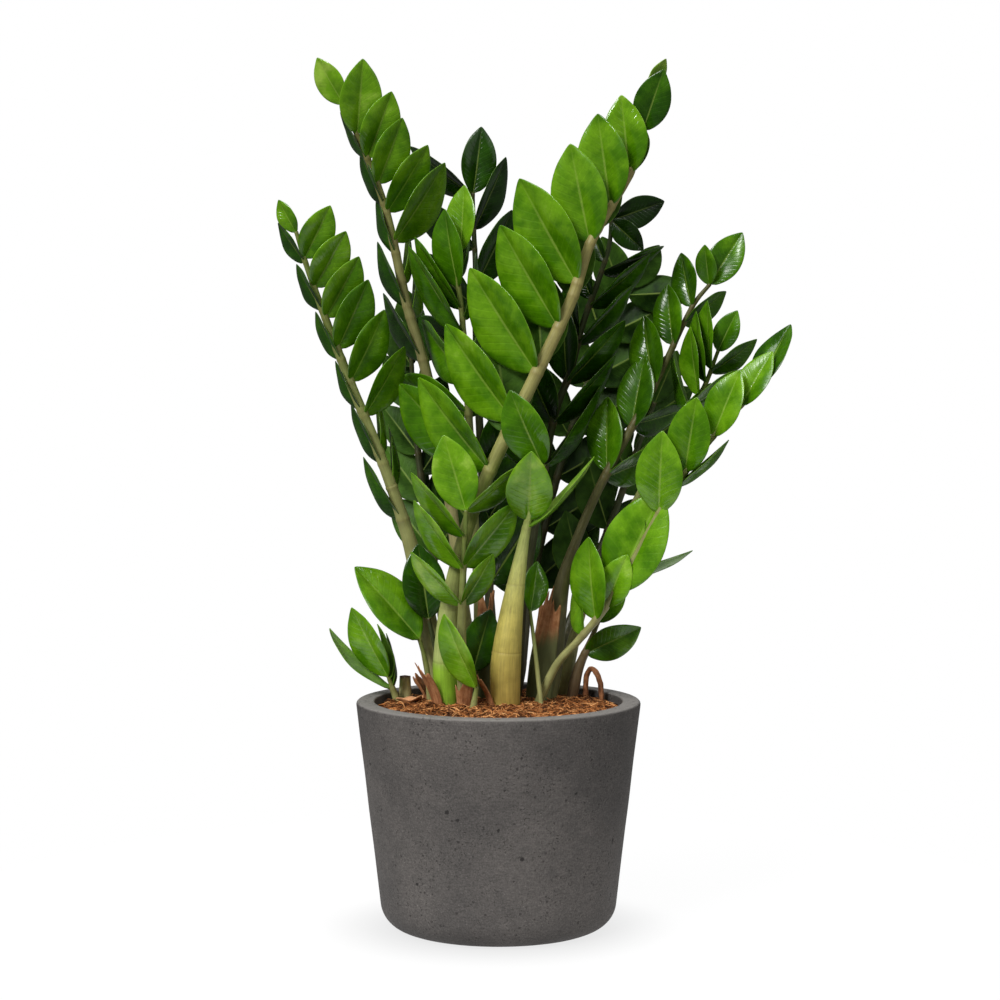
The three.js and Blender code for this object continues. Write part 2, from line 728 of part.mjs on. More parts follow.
// Each leaflet is bent clear of the other stems, of their leaflets already placed, and, past its
// root, of the leaflets on its own stem. One that finds no room is left off.
function placeLeaflets() {
  const others = [];
  return grown.map(({ stem, line }, order) => {
    const placed = [];
    const own = [];
    const obstacles = [...others, ...stemShells.filter((shell, i) => i !== order)];
    for (const leaflet of leafletsOf(stem, line)) {
      for (const change of CHANGES) {
        const pose = poseLeaflet(stem, line, leaflet, change);
        const shell = shellOf(bladeGeometry(pose, 2 * BLADE_CLEARANCE));
        if (meetsPot(shell) || obstacles.some((other) => shellsCross(shell, other))) continue;
        const outer = shellOf(bladeGeometry(pose, BLADE_CLEARANCE, BLADE_STATIONS_PAST_ROOT));
        if (own.some((other) => shellsCross(outer, other))) continue;
        placed.push(pose);
        others.push(shell);
        own.push(outer);
        break;
      }
    }
    return placed;
  });
}

const placedLeaflets = placeLeaflets();

function joinedStem({ line, make }, leaflets) {
  let solid = solidFrom(make(0, -BURIED, line.length));
  for (const pose of leaflets) solid = solid.add(solidFrom(bladeGeometry(pose, BLADE_THICKNESS)));
  return solid;
}

// ---------------------------------------------------------------- dry sheaths and the arched root
// Each wraps part of a stem's foot: turn is where its middle stands, 0 to the front and 90 to the right,
// spread how far it reaches round the stem, from and to its ends along the stem, flare how far its top
// leans away.
const SHEATHS = [
  { on: "stem_front_tall", turn: -68, spread: 104, from: -SHEATH_SUNK, to: 40, flare: 14 },
  { on: "stem_front_left", turn: 14, spread: 150, from: -SHEATH_SUNK, to: 26, flare: 4 },
  { on: "stem_front_centre", turn: -80, spread: 84, from: -SHEATH_SUNK, to: 30, flare: 11 },
  { on: "stem_centre_left", turn: 56, spread: 170, from: -SHEATH_SUNK, to: 116, flare: 9 },
  { on: "stem_upper_right", turn: -36, spread: 130, from: -SHEATH_SUNK, to: 116, flare: 5 },
  { on: "stem_far_left", turn: -104, spread: 100, from: -SHEATH_SUNK, to: 30, flare: 9 },
];

// A point on a sheath: way runs 0 at its foot to 1 at its top, lane -1 to 1 round the stem.
function sheathPoint({ stem, line }, sheath, way, lane, lift) {
  const distance = mixNumbers(sheath.from, sheath.to, way);
  const { point, along } = line.at(distance);
  const front = new THREE.Vector3(0, -1, 0);
  front.addScaledVector(along, -front.dot(along)).normalize();
  const right = along.clone().cross(front);
  const narrowing = 1 - SHEATH_NARROWING * way ** SHEATH_NARROWING_CURVE;
  const angle = radians(sheath.turn + (lane * sheath.spread * narrowing) / 2);
  const radius = stemRadius(stem, line, distance) + SHEATH_GAP + sheath.flare * way ** 2 + lift;
  const wave = Math.sin(lane * SHEATH_RAGGED_WAVES + sheath.turn);
  const ragged = distance > 0 ? SHEATH_RAGGEDNESS * way * wave : 0;
  return point.clone()
    .addScaledVector(front, Math.cos(angle) * radius)
    .addScaledVector(right, Math.sin(angle) * radius)
    .addScaledVector(along, ragged);
}

// A closed curved plate between two lifts from the stem.
function sheathGeometry(item, sheath, inner, outer) {
  const positions = [];
  const triangles = [];
  for (const lift of [outer, inner]) {
    for (let row = 0; row <= SHEATH_ROWS; row += 1) {
      for (let lane = 0; lane <= SHEATH_LANES; lane += 1) {
        const way = row / SHEATH_ROWS;
        positions.push(...sheathPoint(item, sheath, way, (2 * lane) / SHEATH_LANES - 1, lift).toArray());
      }
    }
  }
  const width = SHEATH_LANES + 1;
  const under = positions.length / 6;
  const edge = (a, b) => triangles.push(a, b, under + b, a, under + b, under + a);
  for (let row = 0; row < SHEATH_ROWS; row += 1) {
    for (let lane = 0; lane < SHEATH_LANES; lane += 1) {
      const a = row * width + lane;
      const [b, c, d] = [a + 1, a + 1 + width, a + width];
      triangles.push(a, b, c, a, c, d);
      triangles.push(under + a, under + c, under + b, under + a, under + d, under + c);
    }
    edge(row * width, (row + 1) * width);
    edge((row + 1) * width + SHEATH_LANES, row * width + SHEATH_LANES);
  }
  for (let lane = 0; lane < SHEATH_LANES; lane += 1) {
    const top = SHEATH_ROWS * width + lane;
    edge(lane + 1, lane);
    edge(top, top + 1);
  }
  return geometryFrom(positions, triangles);
}

// A root that leaves the mix, arches over and goes back into it.
const rootLine = new CentreLine([
  [88, 63, 206], [88, 61, 222], [88, 59, 236], [91, 56, 246], [96, 51, 247], [101, 47, 238], [103, 45, 224],
  [103, 44, 206],
]);

function rootGeometry(extra) {
  return tubeGeometry(rootLine, -extra, rootLine.length + extra, () => ROOT_RADIUS + extra, STEM_SIDES, 8);
}

// ---------------------------------------------------------------- pot and growing mix
function arc(centre, radius, from, to, steps) {
  const points = [];
  for (let i = 0; i <= steps; i += 1) {
    const angle = mixNumbers(from, to, i / steps);
    const x = centre.x + radius * Math.cos(angle);
    const y = centre.y + radius * Math.sin(angle);
    points.push(new THREE.Vector2(x, y));
  }
  return points;
}

const wallLean = Math.atan2(RIM_RADIUS - FOOT_RADIUS, POT_HEIGHT);
const outerRadiusAt = (z) => FOOT_RADIUS + (RIM_RADIUS - FOOT_RADIUS) * (z / POT_HEIGHT);
const innerRadiusAt = (z) => outerRadiusAt(z) - WALL / Math.cos(wallLean);

// Where a rounding of the given radius touches the leaning wall and the level face at height z.
function wallRounding(radius, z, down) {
  const rise = down ? radius : -radius;
  const centreZ = z + rise;
  return new THREE.Vector2(outerRadiusAt(centreZ) - radius / Math.cos(wallLean), centreZ);
}

function latheSolid(profile, segments) {
  const geometry = new THREE.LatheGeometry(profile, segments);
  geometry.rotateX(Math.PI / 2);
  return solidFrom(geometry);
}

function potSolid() {
  const foot = wallRounding(FOOT_ROUNDING, 0, true);
  const rim = wallRounding(RIM_ROUNDING, POT_HEIGHT, false);
  const innerRim = innerRadiusAt(POT_HEIGHT);
  const profile = [
    new THREE.Vector2(0, 0),
    ...arc(foot, FOOT_ROUNDING, -Math.PI / 2, -wallLean, 5),
    ...arc(rim, RIM_ROUNDING, -wallLean, Math.PI / 2, 2),
    new THREE.Vector2(innerRim + RIM_ROUNDING / 2, POT_HEIGHT),
    new THREE.Vector2(innerRim, POT_HEIGHT - RIM_ROUNDING / 2),
    new THREE.Vector2(innerRadiusAt(FLOOR), FLOOR),
    new THREE.Vector2(0, FLOOR),
  ];
  return latheSolid(profile, POT_SEGMENTS);
}

// The mix's surface: slightly mounded, with low waves.
function mixHeight(x, y) {
  const way = Math.min(1, Math.hypot(x, y) / innerRadiusAt(mixTop));
  const waves = Math.sin(x * 0.13 + 1) * Math.cos(y * 0.17) + 0.5 * Math.sin(x * 0.29 + y * 0.23);
  return mixTop + MIX_MOUND * (1 - way * way) + MIX_RELIEF * waves * (1 - way ** 4);
}

function mixSolid() {
  const top = innerRadiusAt(mixTop) - GAP;
  const rings = [0.75, 0.5, 0.25].map((share) => new THREE.Vector2(top * share, mixTop));
  const geometry = new THREE.LatheGeometry([
    new THREE.Vector2(0, FLOOR + GAP),
    new THREE.Vector2(innerRadiusAt(FLOOR) - GAP, FLOOR + GAP),
    new THREE.Vector2(top, mixTop),
    ...rings,
    new THREE.Vector2(0, mixTop),
  ], MIX_SEGMENTS);
  geometry.rotateX(Math.PI / 2);
  const position = geometry.getAttribute("position");
  for (let i = 0; i < position.count; i += 1) {
    if (position.getZ(i) > mixTop - 1) position.setZ(i, mixHeight(position.getX(i), position.getY(i)));
  }
  return solidFrom(geometry);
}

// ---------------------------------------------------------------- the assembly
const colours = {
  pot: 0x55514e,
  mix: 0x8a4a2a,
  leafBright: 0x4f9420,
  leafDark: 0x1f4d1c,
  wood: 0x6b4a2c,
  sheath: 0x7a3f26,
};

const group = new THREE.Group();

function addNode(name, solid, colour, roughness) {
  const material = new THREE.MeshStandardMaterial({ color: colour, roughness, metalness: 0 });
  const mesh = new THREE.Mesh(geometryOf(solid), material);
  mesh.name = name;
  group.add(mesh);
}

function stemColour(stem) {
  if (stem.brown) return colours.wood;
  return stem.dark ? colours.leafDark : colours.leafBright;
}

const wrapped = SHEATHS.map((sheath) => {
  const item = grown.find(({ stem }) => stem.name === sheath.on);
  return {
    solid: solidFrom(sheathGeometry(item, sheath, 0, SHEATH_THICKNESS)),
    slot: solidFrom(sheathGeometry(
      item,
      { ...sheath, from: sheath.from - GAP, spread: sheath.spread + SLOT_WIDENING },
      -SLOT_DEPTH_INTO_STEM,
      SHEATH_THICKNESS + SLOT_CLEARANCE,
    )),
  };
});

let mix = mixSolid();
for (const { line, make } of grown) mix = mix.subtract(solidFrom(make(GAP, -BURIED - GAP, line.length)));
for (const { slot } of wrapped) mix = mix.subtract(slot);
mix = mix.subtract(solidFrom(rootGeometry(GAP)));

addNode("pot", potSolid(), colours.pot, 0.85);
addNode("growing_mix", mix, colours.mix, 0.95);
grown.forEach((item, order) => {
  addNode(item.stem.name, joinedStem(item, placedLeaflets[order]), stemColour(item.stem), 0.3);
});
wrapped.forEach(({ solid }, order) => addNode(`dry_sheath_${order + 1}`, solid, colours.sheath, 0.9));
addNode("arched_root", solidFrom(rootGeometry(0)), colours.wood, 0.8);

export default group;
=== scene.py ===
# The looks of the potted ZZ plant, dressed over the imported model: finer leaflets, stems, pot, growing
# mix, dry sheaths and root. The growth rule is the one in the CAD source, in millimetres, and every
# object is made in metres.
import math

import bpy
import numpy as np
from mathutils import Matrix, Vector, noise


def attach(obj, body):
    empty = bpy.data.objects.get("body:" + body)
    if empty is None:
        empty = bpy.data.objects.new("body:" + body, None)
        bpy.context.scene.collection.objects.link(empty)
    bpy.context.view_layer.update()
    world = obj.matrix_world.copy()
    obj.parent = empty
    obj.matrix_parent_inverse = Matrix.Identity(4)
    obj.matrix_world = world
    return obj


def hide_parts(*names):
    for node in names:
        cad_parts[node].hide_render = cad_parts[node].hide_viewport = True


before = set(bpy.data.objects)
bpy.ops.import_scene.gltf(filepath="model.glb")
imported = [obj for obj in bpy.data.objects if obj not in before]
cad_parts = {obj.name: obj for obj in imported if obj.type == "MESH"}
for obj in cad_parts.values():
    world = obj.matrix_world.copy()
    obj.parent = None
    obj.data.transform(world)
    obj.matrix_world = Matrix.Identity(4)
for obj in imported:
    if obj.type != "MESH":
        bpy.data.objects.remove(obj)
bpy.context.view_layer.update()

MM = 0.001

# ---------------------------------------------------------------- driving dimensions, millimetres
RIM_RADIUS = 140
POT_HEIGHT = 224
FOOT_RADIUS = 113.5
FOOT_ROUNDING = 26
RIM_ROUNDING = 3
WALL = 18
FLOOR = 16

# From this height to the rim's top the pot is lightened as painted light.
RIM_PAINTED_LIGHT_FROM = POT_HEIGHT - 2
# Up to this height the pot's foot is darkened as painted shade.
FOOT_PAINTED_SHADE = 34

MIX_DEPTH_BELOW_RIM = 8
MIX_MOUND = 5
MIX_RELIEF = 1.4

STEM_SIDES = 5
STEM_RING_STEP = 42
TAPER_CURVE = 3
FOOT_WAIST = 0.14
FOOT_WAIST_SHARE = 0.2

BLADE_CLEARANCE = 1.3
BLADE_STATIONS = [0, 0.16, 0.43, 0.79, 1]
BLADE_STATIONS_PAST_ROOT = [0.12, 0.25, 0.5, 0.76, 1]
BLADE_WIDTH_RATIO = 0.57
BLADE_CUP = 18
BLADE_CUP_EASING = 0.5
BLADE_WIDEST_SHIFT = 0.92
BLADE_FULLNESS = 0.72
RANK_MIDDLE = 0.4
EDGE_ROLL = -18
CROWDING = 0.12
HEIGHT_CLEAR_OF_RIM = 3

SHEATH_GAP = 1.2
SHEATH_SUNK = 6
SHEATH_NARROWING = 0.4
SHEATH_NARROWING_CURVE = 1.6
SHEATH_RAGGEDNESS = 3.5
SHEATH_RAGGED_WAVES = 5
ROOT_RADIUS = 2.8

MIX_TOP = POT_HEIGHT - MIX_DEPTH_BELOW_RIM
SPAN_STEPS = 12
LEFT = -1
RIGHT = 1

# The looks' own random draws start from these.
STEM_SEEDS = 500
SHEATH_SEEDS = 900
MIX_SEED = 71

# ---------------------------------------------------------------- the camera
CAMERA_PLACE = (0.00153, -2.5, 0.569)
CAMERA_PITCH = 3.39
CAMERA_LENS = 92.07
SENSOR = 36


# ---------------------------------------------------------------- small helpers
def mix_numbers(low, high, way):
    return low + (high - low) * way


def unit(vector):
    return vector / np.linalg.norm(vector)


# Seeded draws between -1 and 1 (mulberry32).
def draws_from(seed):
    full = 0xFFFFFFFF
    state = seed & full

    def draw():
        nonlocal state
        state = (state + 0x6D2B79F5) & full
        word = state
        word = ((word ^ (word >> 15)) * (word | 1)) & full
        word ^= (word + (((word ^ (word >> 7)) * (word | 61)) & full)) & full
        return (word ^ (word >> 14)) / 4294967296 * 2 - 1

    return draw


# Three values, met at the start, the middle and the end of a rank.
def three_way(values, way):
    low, middle, top = values
    if way < RANK_MIDDLE:
        return mix_numbers(low, middle, way / RANK_MIDDLE)
    return mix_numbers(middle, top, (way - RANK_MIDDLE) / (1 - RANK_MIDDLE))


def smooth(low, high, value):
    way = np.clip((value - low) / (high - low), 0, 1)
    return way * way * (3 - 2 * way)


# ---------------------------------------------------------------- centre lines
# A smooth line through a few points (uniform Catmull-Rom), walked by its length.
class CentreLine:
    def __init__(self, points):
        knots = np.array(points, float)
        ends = [knots[0] * 2 - knots[1]], [knots[-1] * 2 - knots[-2]]
        knots = np.concatenate([ends[0], knots, ends[1]])
        found = [knots[1]]
        for span in range(1, len(knots) - 2):
            for step in range(1, SPAN_STEPS + 1):
                found.append(self.blend(knots[span - 1:span + 3], step / SPAN_STEPS))
        self.points = np.array(found)
        steps = np.linalg.norm(np.diff(self.points, axis=0), axis=1)
        self.distances = np.concatenate([[0], np.cumsum(steps)])
        self.length = self.distances[-1]

    @staticmethod
    def blend(knots, t):
        weights = [
            -0.5 * t + t * t - 0.5 * t * t * t,
            1 - 2.5 * t * t + 1.5 * t * t * t,
            0.5 * t + 2 * t * t - 1.5 * t * t * t,
            -0.5 * t * t + 0.5 * t * t * t,
        ]
        return np.dot(weights, knots)

    # The point and the direction at a distance; past either end the line runs on straight.
    def at(self, distance):
        i = int(np.searchsorted(self.distances, distance)) - 1
        i = min(max(i, 0), len(self.distances) - 2)
        step = self.distances[i + 1] - self.distances[i]
        along = (self.points[i + 1] - self.points[i]) / step
        return self.points[i] + along * (distance - self.distances[i]), along


# The radius of a stem: a swollen base that narrows to the neck, then an even taper to the tip.
def stem_radius(stem, line, distance):
    way = min(max(distance / line.length, 0), 1)
    taper = mix_numbers(stem["neck"], stem["tip"], way ** TAPER_CURVE)
    rise = min(max(distance / stem["swell_length"], 0), 1)
    waist = 1 - FOOT_WAIST * max(0, 1 - rise / FOOT_WAIST_SHARE)
    return (taper + (stem["swell"] - stem["neck"]) * (1 - smooth(0, 1, rise))) * waist


# At each distance along a line: the distance, the point and two directions across the line.
def frames_along(line, distances):
    across = np.array([1.0, 0, 0])
    for distance in distances:
        point, along = line.at(distance)
        across = unit(across - along * across.dot(along))
        yield distance, point, across, np.cross(along, across)


# Rings around a whole line, as (points, triangles): the solids' own coarse tube.
def tube(line, radius_at, sides, step):
    rings = max(2, math.floor(line.length / step + 0.5) + 1)
    distances = [line.length * (ring / (rings - 1)) for ring in range(rings)]
    points = []
    for distance, point, across, other in frames_along(line, distances):
        radius = radius_at(distance)
        for side in range(sides):
            angle = 2 * math.pi * side / sides
            points.append(point + across * (math.cos(angle) * radius) + other * (math.sin(angle) * radius))
    first = len(points)
    points += [line.at(0)[0], line.at(line.length)[0]]
    triangles = []
    for side in range(sides):
        after = (side + 1) % sides
        for ring in range(rings - 1):
            low = ring * sides
            high = low + sides
            triangles += [(low + side, low + after, high + after), (low + side, high + after, high + side)]
        top = (rings - 1) * sides
        triangles += [(first, after, side), (first + 1, top + side, top + after)]
    return np.array(points), triangles


# ---------------------------------------------------------------- leaflets
# Half the width of a leaflet along its length, as a share of its widest.
def blade_outline(way):
    return np.sin(math.pi * way ** BLADE_WIDEST_SHIFT) ** BLADE_FULLNESS


def blade_point(leaflet, way, lane):
    half = leaflet["width"] / 2 * max(blade_outline(way), 0) if 0 < way < 1 else 0
    side = lane * half
    cup = abs(side) * math.tan(leaflet["cup"]) * (1 - BLADE_CUP_EASING * way)
    droop = leaflet["droop"] * leaflet["length"] * way * way
    return (leaflet["root"] + leaflet["along"] * (leaflet["length"] * way) + leaflet["across"] * side
            + leaflet["upper"] * (cup - droop))


# The solids' own coarse blade, as (points, triangles).
def blade(leaflet, thickness, stations):
    rows = []
    for row, way in enumerate(stations):
        lanes = [0] if row in (0, len(stations) - 1) else [-1, 0, 1]
        rows += [blade_point(leaflet, way, lane) for lane in lanes]
    rows = np.array(rows)
    under = len(rows)
    last = under - 1
    triangles = []

    def faces(a, b, c):
        triangles.extend([(a, b, c), (under + a, under + c, under + b)])

    def edge(a, b):
        triangles.extend([(a, b, under + b), (a, under + b, under + a)])

    faces(0, 2, 1)
    faces(0, 3, 2)
    edge(0, 1)
    edge(3, 0)
    for near in range(1, last - 3, 3):
        far = near + 3
        for lane in (0, 1):
            faces(near + lane, near + lane + 1, far + lane + 1)
            faces(near + lane, far + lane + 1, far + lane)
        edge(near, far)
        edge(far + 2, near + 2)
    faces(last - 3, last - 2, last)
    faces(last - 2, last - 1, last)
    edge(last - 3, last)
    edge(last, last - 1)
    lift = leaflet["upper"] * (thickness / 2)
    return np.concatenate([rows + lift, rows - lift]), triangles


# Where a leaflet sits: its rank turns about the stem by fold, it opens from the stem by open and
# rolls about its own rib by roll. The stem's face is the side that its upper faces look to.
def pose_leaflet(stem, line, leaflet, change):
    scale, bend, spread = change
    point, stem_along = line.at(leaflet["at"])
    face = np.array(stem["face"], float)
    face = unit(face - stem_along * face.dot(stem_along))
    right = np.cross(stem_along, face)
    fold = math.radians(leaflet["fold"] + bend)
    opened = math.radians(leaflet["open"] + spread)
    side = leaflet["side"]
    out = right * (side * math.cos(fold)) + face * math.sin(fold)
    normal = face * math.cos(fold) - right * (side * math.sin(fold))
    along = stem_along * math.cos(opened) + out * math.sin(opened)
    flat = np.cross(along, normal)
    roll = math.radians(leaflet["roll"]) * side
    across = flat * math.cos(roll) + normal * math.sin(roll)
    upper = normal * math.cos(roll) - flat * math.sin(roll)
    length = leaflet["size"] * scale
    return {
        **leaflet, "root": point, "along": along, "across": across, "upper": upper,
        "length": length, "width": length * BLADE_WIDTH_RATIO,
    }


# The leaflets of a stem: those at its tip, then rank by rank from the lowest leaflet up. Each strays a
# little from what its rank says.
def leaflets_of(stem, line):
    draw = draws_from(stem["seed"])
    found = []

    def add(at, side, opened, size, fold=0, roll=0):
        found.append({
            "at": at,
            "side": side,
            "open": opened + 3 * draw(),
            "fold": fold + 4 * draw(),
            "roll": roll + 2 * draw(),
            "size": size * (1 + 0.04 * draw()),
            "cup": math.radians(BLADE_CUP + 3 * draw()),
            "droop": 0.05 + 0.03 * draw(),
        })

    for tip in stem["tips"]:
        add(line.length - 1, RIGHT, **tip)
    for row in stem["ranks"]:
        for i in range(row["count"]):
            share = i / (row["count"] - 1) if row["count"] > 1 else 0
            way = share * (1 + CROWDING - CROWDING * share)
            add(
                mix_numbers(row["from"], row["to"], way),
                row["side"],
                three_way(row["opened"], way),
                three_way(row["sizes"], way),
                mix_numbers(*row["fold"], way),
                mix_numbers(*row["roll"], way),
            )
    return found


# ---------------------------------------------------------------- keeping clear of each other
def cross_of(one, two):
    x = one[..., 1] * two[..., 2] - one[..., 2] * two[..., 1]
    y = one[..., 2] * two[..., 0] - one[..., 0] * two[..., 2]
    z = one[..., 0] * two[..., 1] - one[..., 1] * two[..., 0]
    return np.stack([x, y, z], -1)


def dot_of(one, two):
    return (one * two).sum(-1)


# A closed shape as triangles and edges, to tell whether two of them cross.
class Shell:
    def __init__(self, points, triangles):
        points = points.astype(np.float32).astype(float)
        corners = np.array(triangles)
        edges = {}
        for triangle in triangles:
            for k in range(3):
                start, end = triangle[k], triangle[(k + 1) % 3]
                edges.setdefault((min(start, end), max(start, end)), (start, end))
        ends = np.array(list(edges.values()))
        self.start = points[ends[:, 0]]
        self.ray = points[ends[:, 1]] - self.start
        self.edge_low = np.minimum(points[ends[:, 0]], points[ends[:, 1]])
        self.edge_high = np.maximum(points[ends[:, 0]], points[ends[:, 1]])
        self.corner = points[corners[:, 0]]
        self.side = points[corners[:, 1]] - self.corner
        self.other = points[corners[:, 2]] - self.corner
        self.low = points.min(0)
        self.high = points.max(0)

    def pierces(self, into):
        near = ((self.edge_low <= into.high) & (self.edge_high >= into.low)).all(1)
        if not near.any():
            return False
        start = self.start[near][:, None]
        ray = self.ray[near][:, None]
        p = cross_of(ray, into.other[None])
        det = dot_of(into.side, p)
        flat = np.abs(det) < 1e-9
        det = np.where(flat, 1, det)
        t = start - into.corner
        u = dot_of(t, p) / det
        q = cross_of(t, into.side[None])
        v = dot_of(ray, q) / det
        w = dot_of(into.other, q) / det
        hit = ~flat & (u >= 0) & (u <= 1) & (v >= 0) & (u + v <= 1) & (w >= 0) & (w <= 1)
        return bool(hit.any())

    def crosses(self, other):
        if (self.low > other.high).any() or (self.high < other.low).any():
            return False
        return self.pierces(other) or other.pierces(self)


# Changes tried in turn where a leaflet would cross another stem: bend its rank, spread it, shrink it.
CHANGES = [
    (scale, bend, spread)
    for scale in (1, 0.86, 0.72, 0.58)
    for bend in (0, 10, -10, 20, -20, 32, -32, 46, -46)
    for spread in (0, 9, -9, 18, -18)
]

# ---------------------------------------------------------------- the plant's stems
# A rank of count leaflets, from one distance along the stem to another. opened is how wide they open,
# sizes how long they are, fold how far they turn from the stem's side towards its face and roll how far
# they turn about their own rib. Each is one number, or a list from the rank's low end to its high: three
# numbers for opened and sizes, two for fold and roll.
def rank(side, count, low, high, opened, sizes, fold, roll=EDGE_ROLL):
    def listed(value, wanted):
        return value if isinstance(value, list) else [value] * wanted

    return {
        "side": side, "count": count, "from": low, "to": high, "opened": listed(opened, 3),
        "sizes": listed(sizes, 3), "fold": listed(fold, 2), "roll": listed(roll, 2),
    }
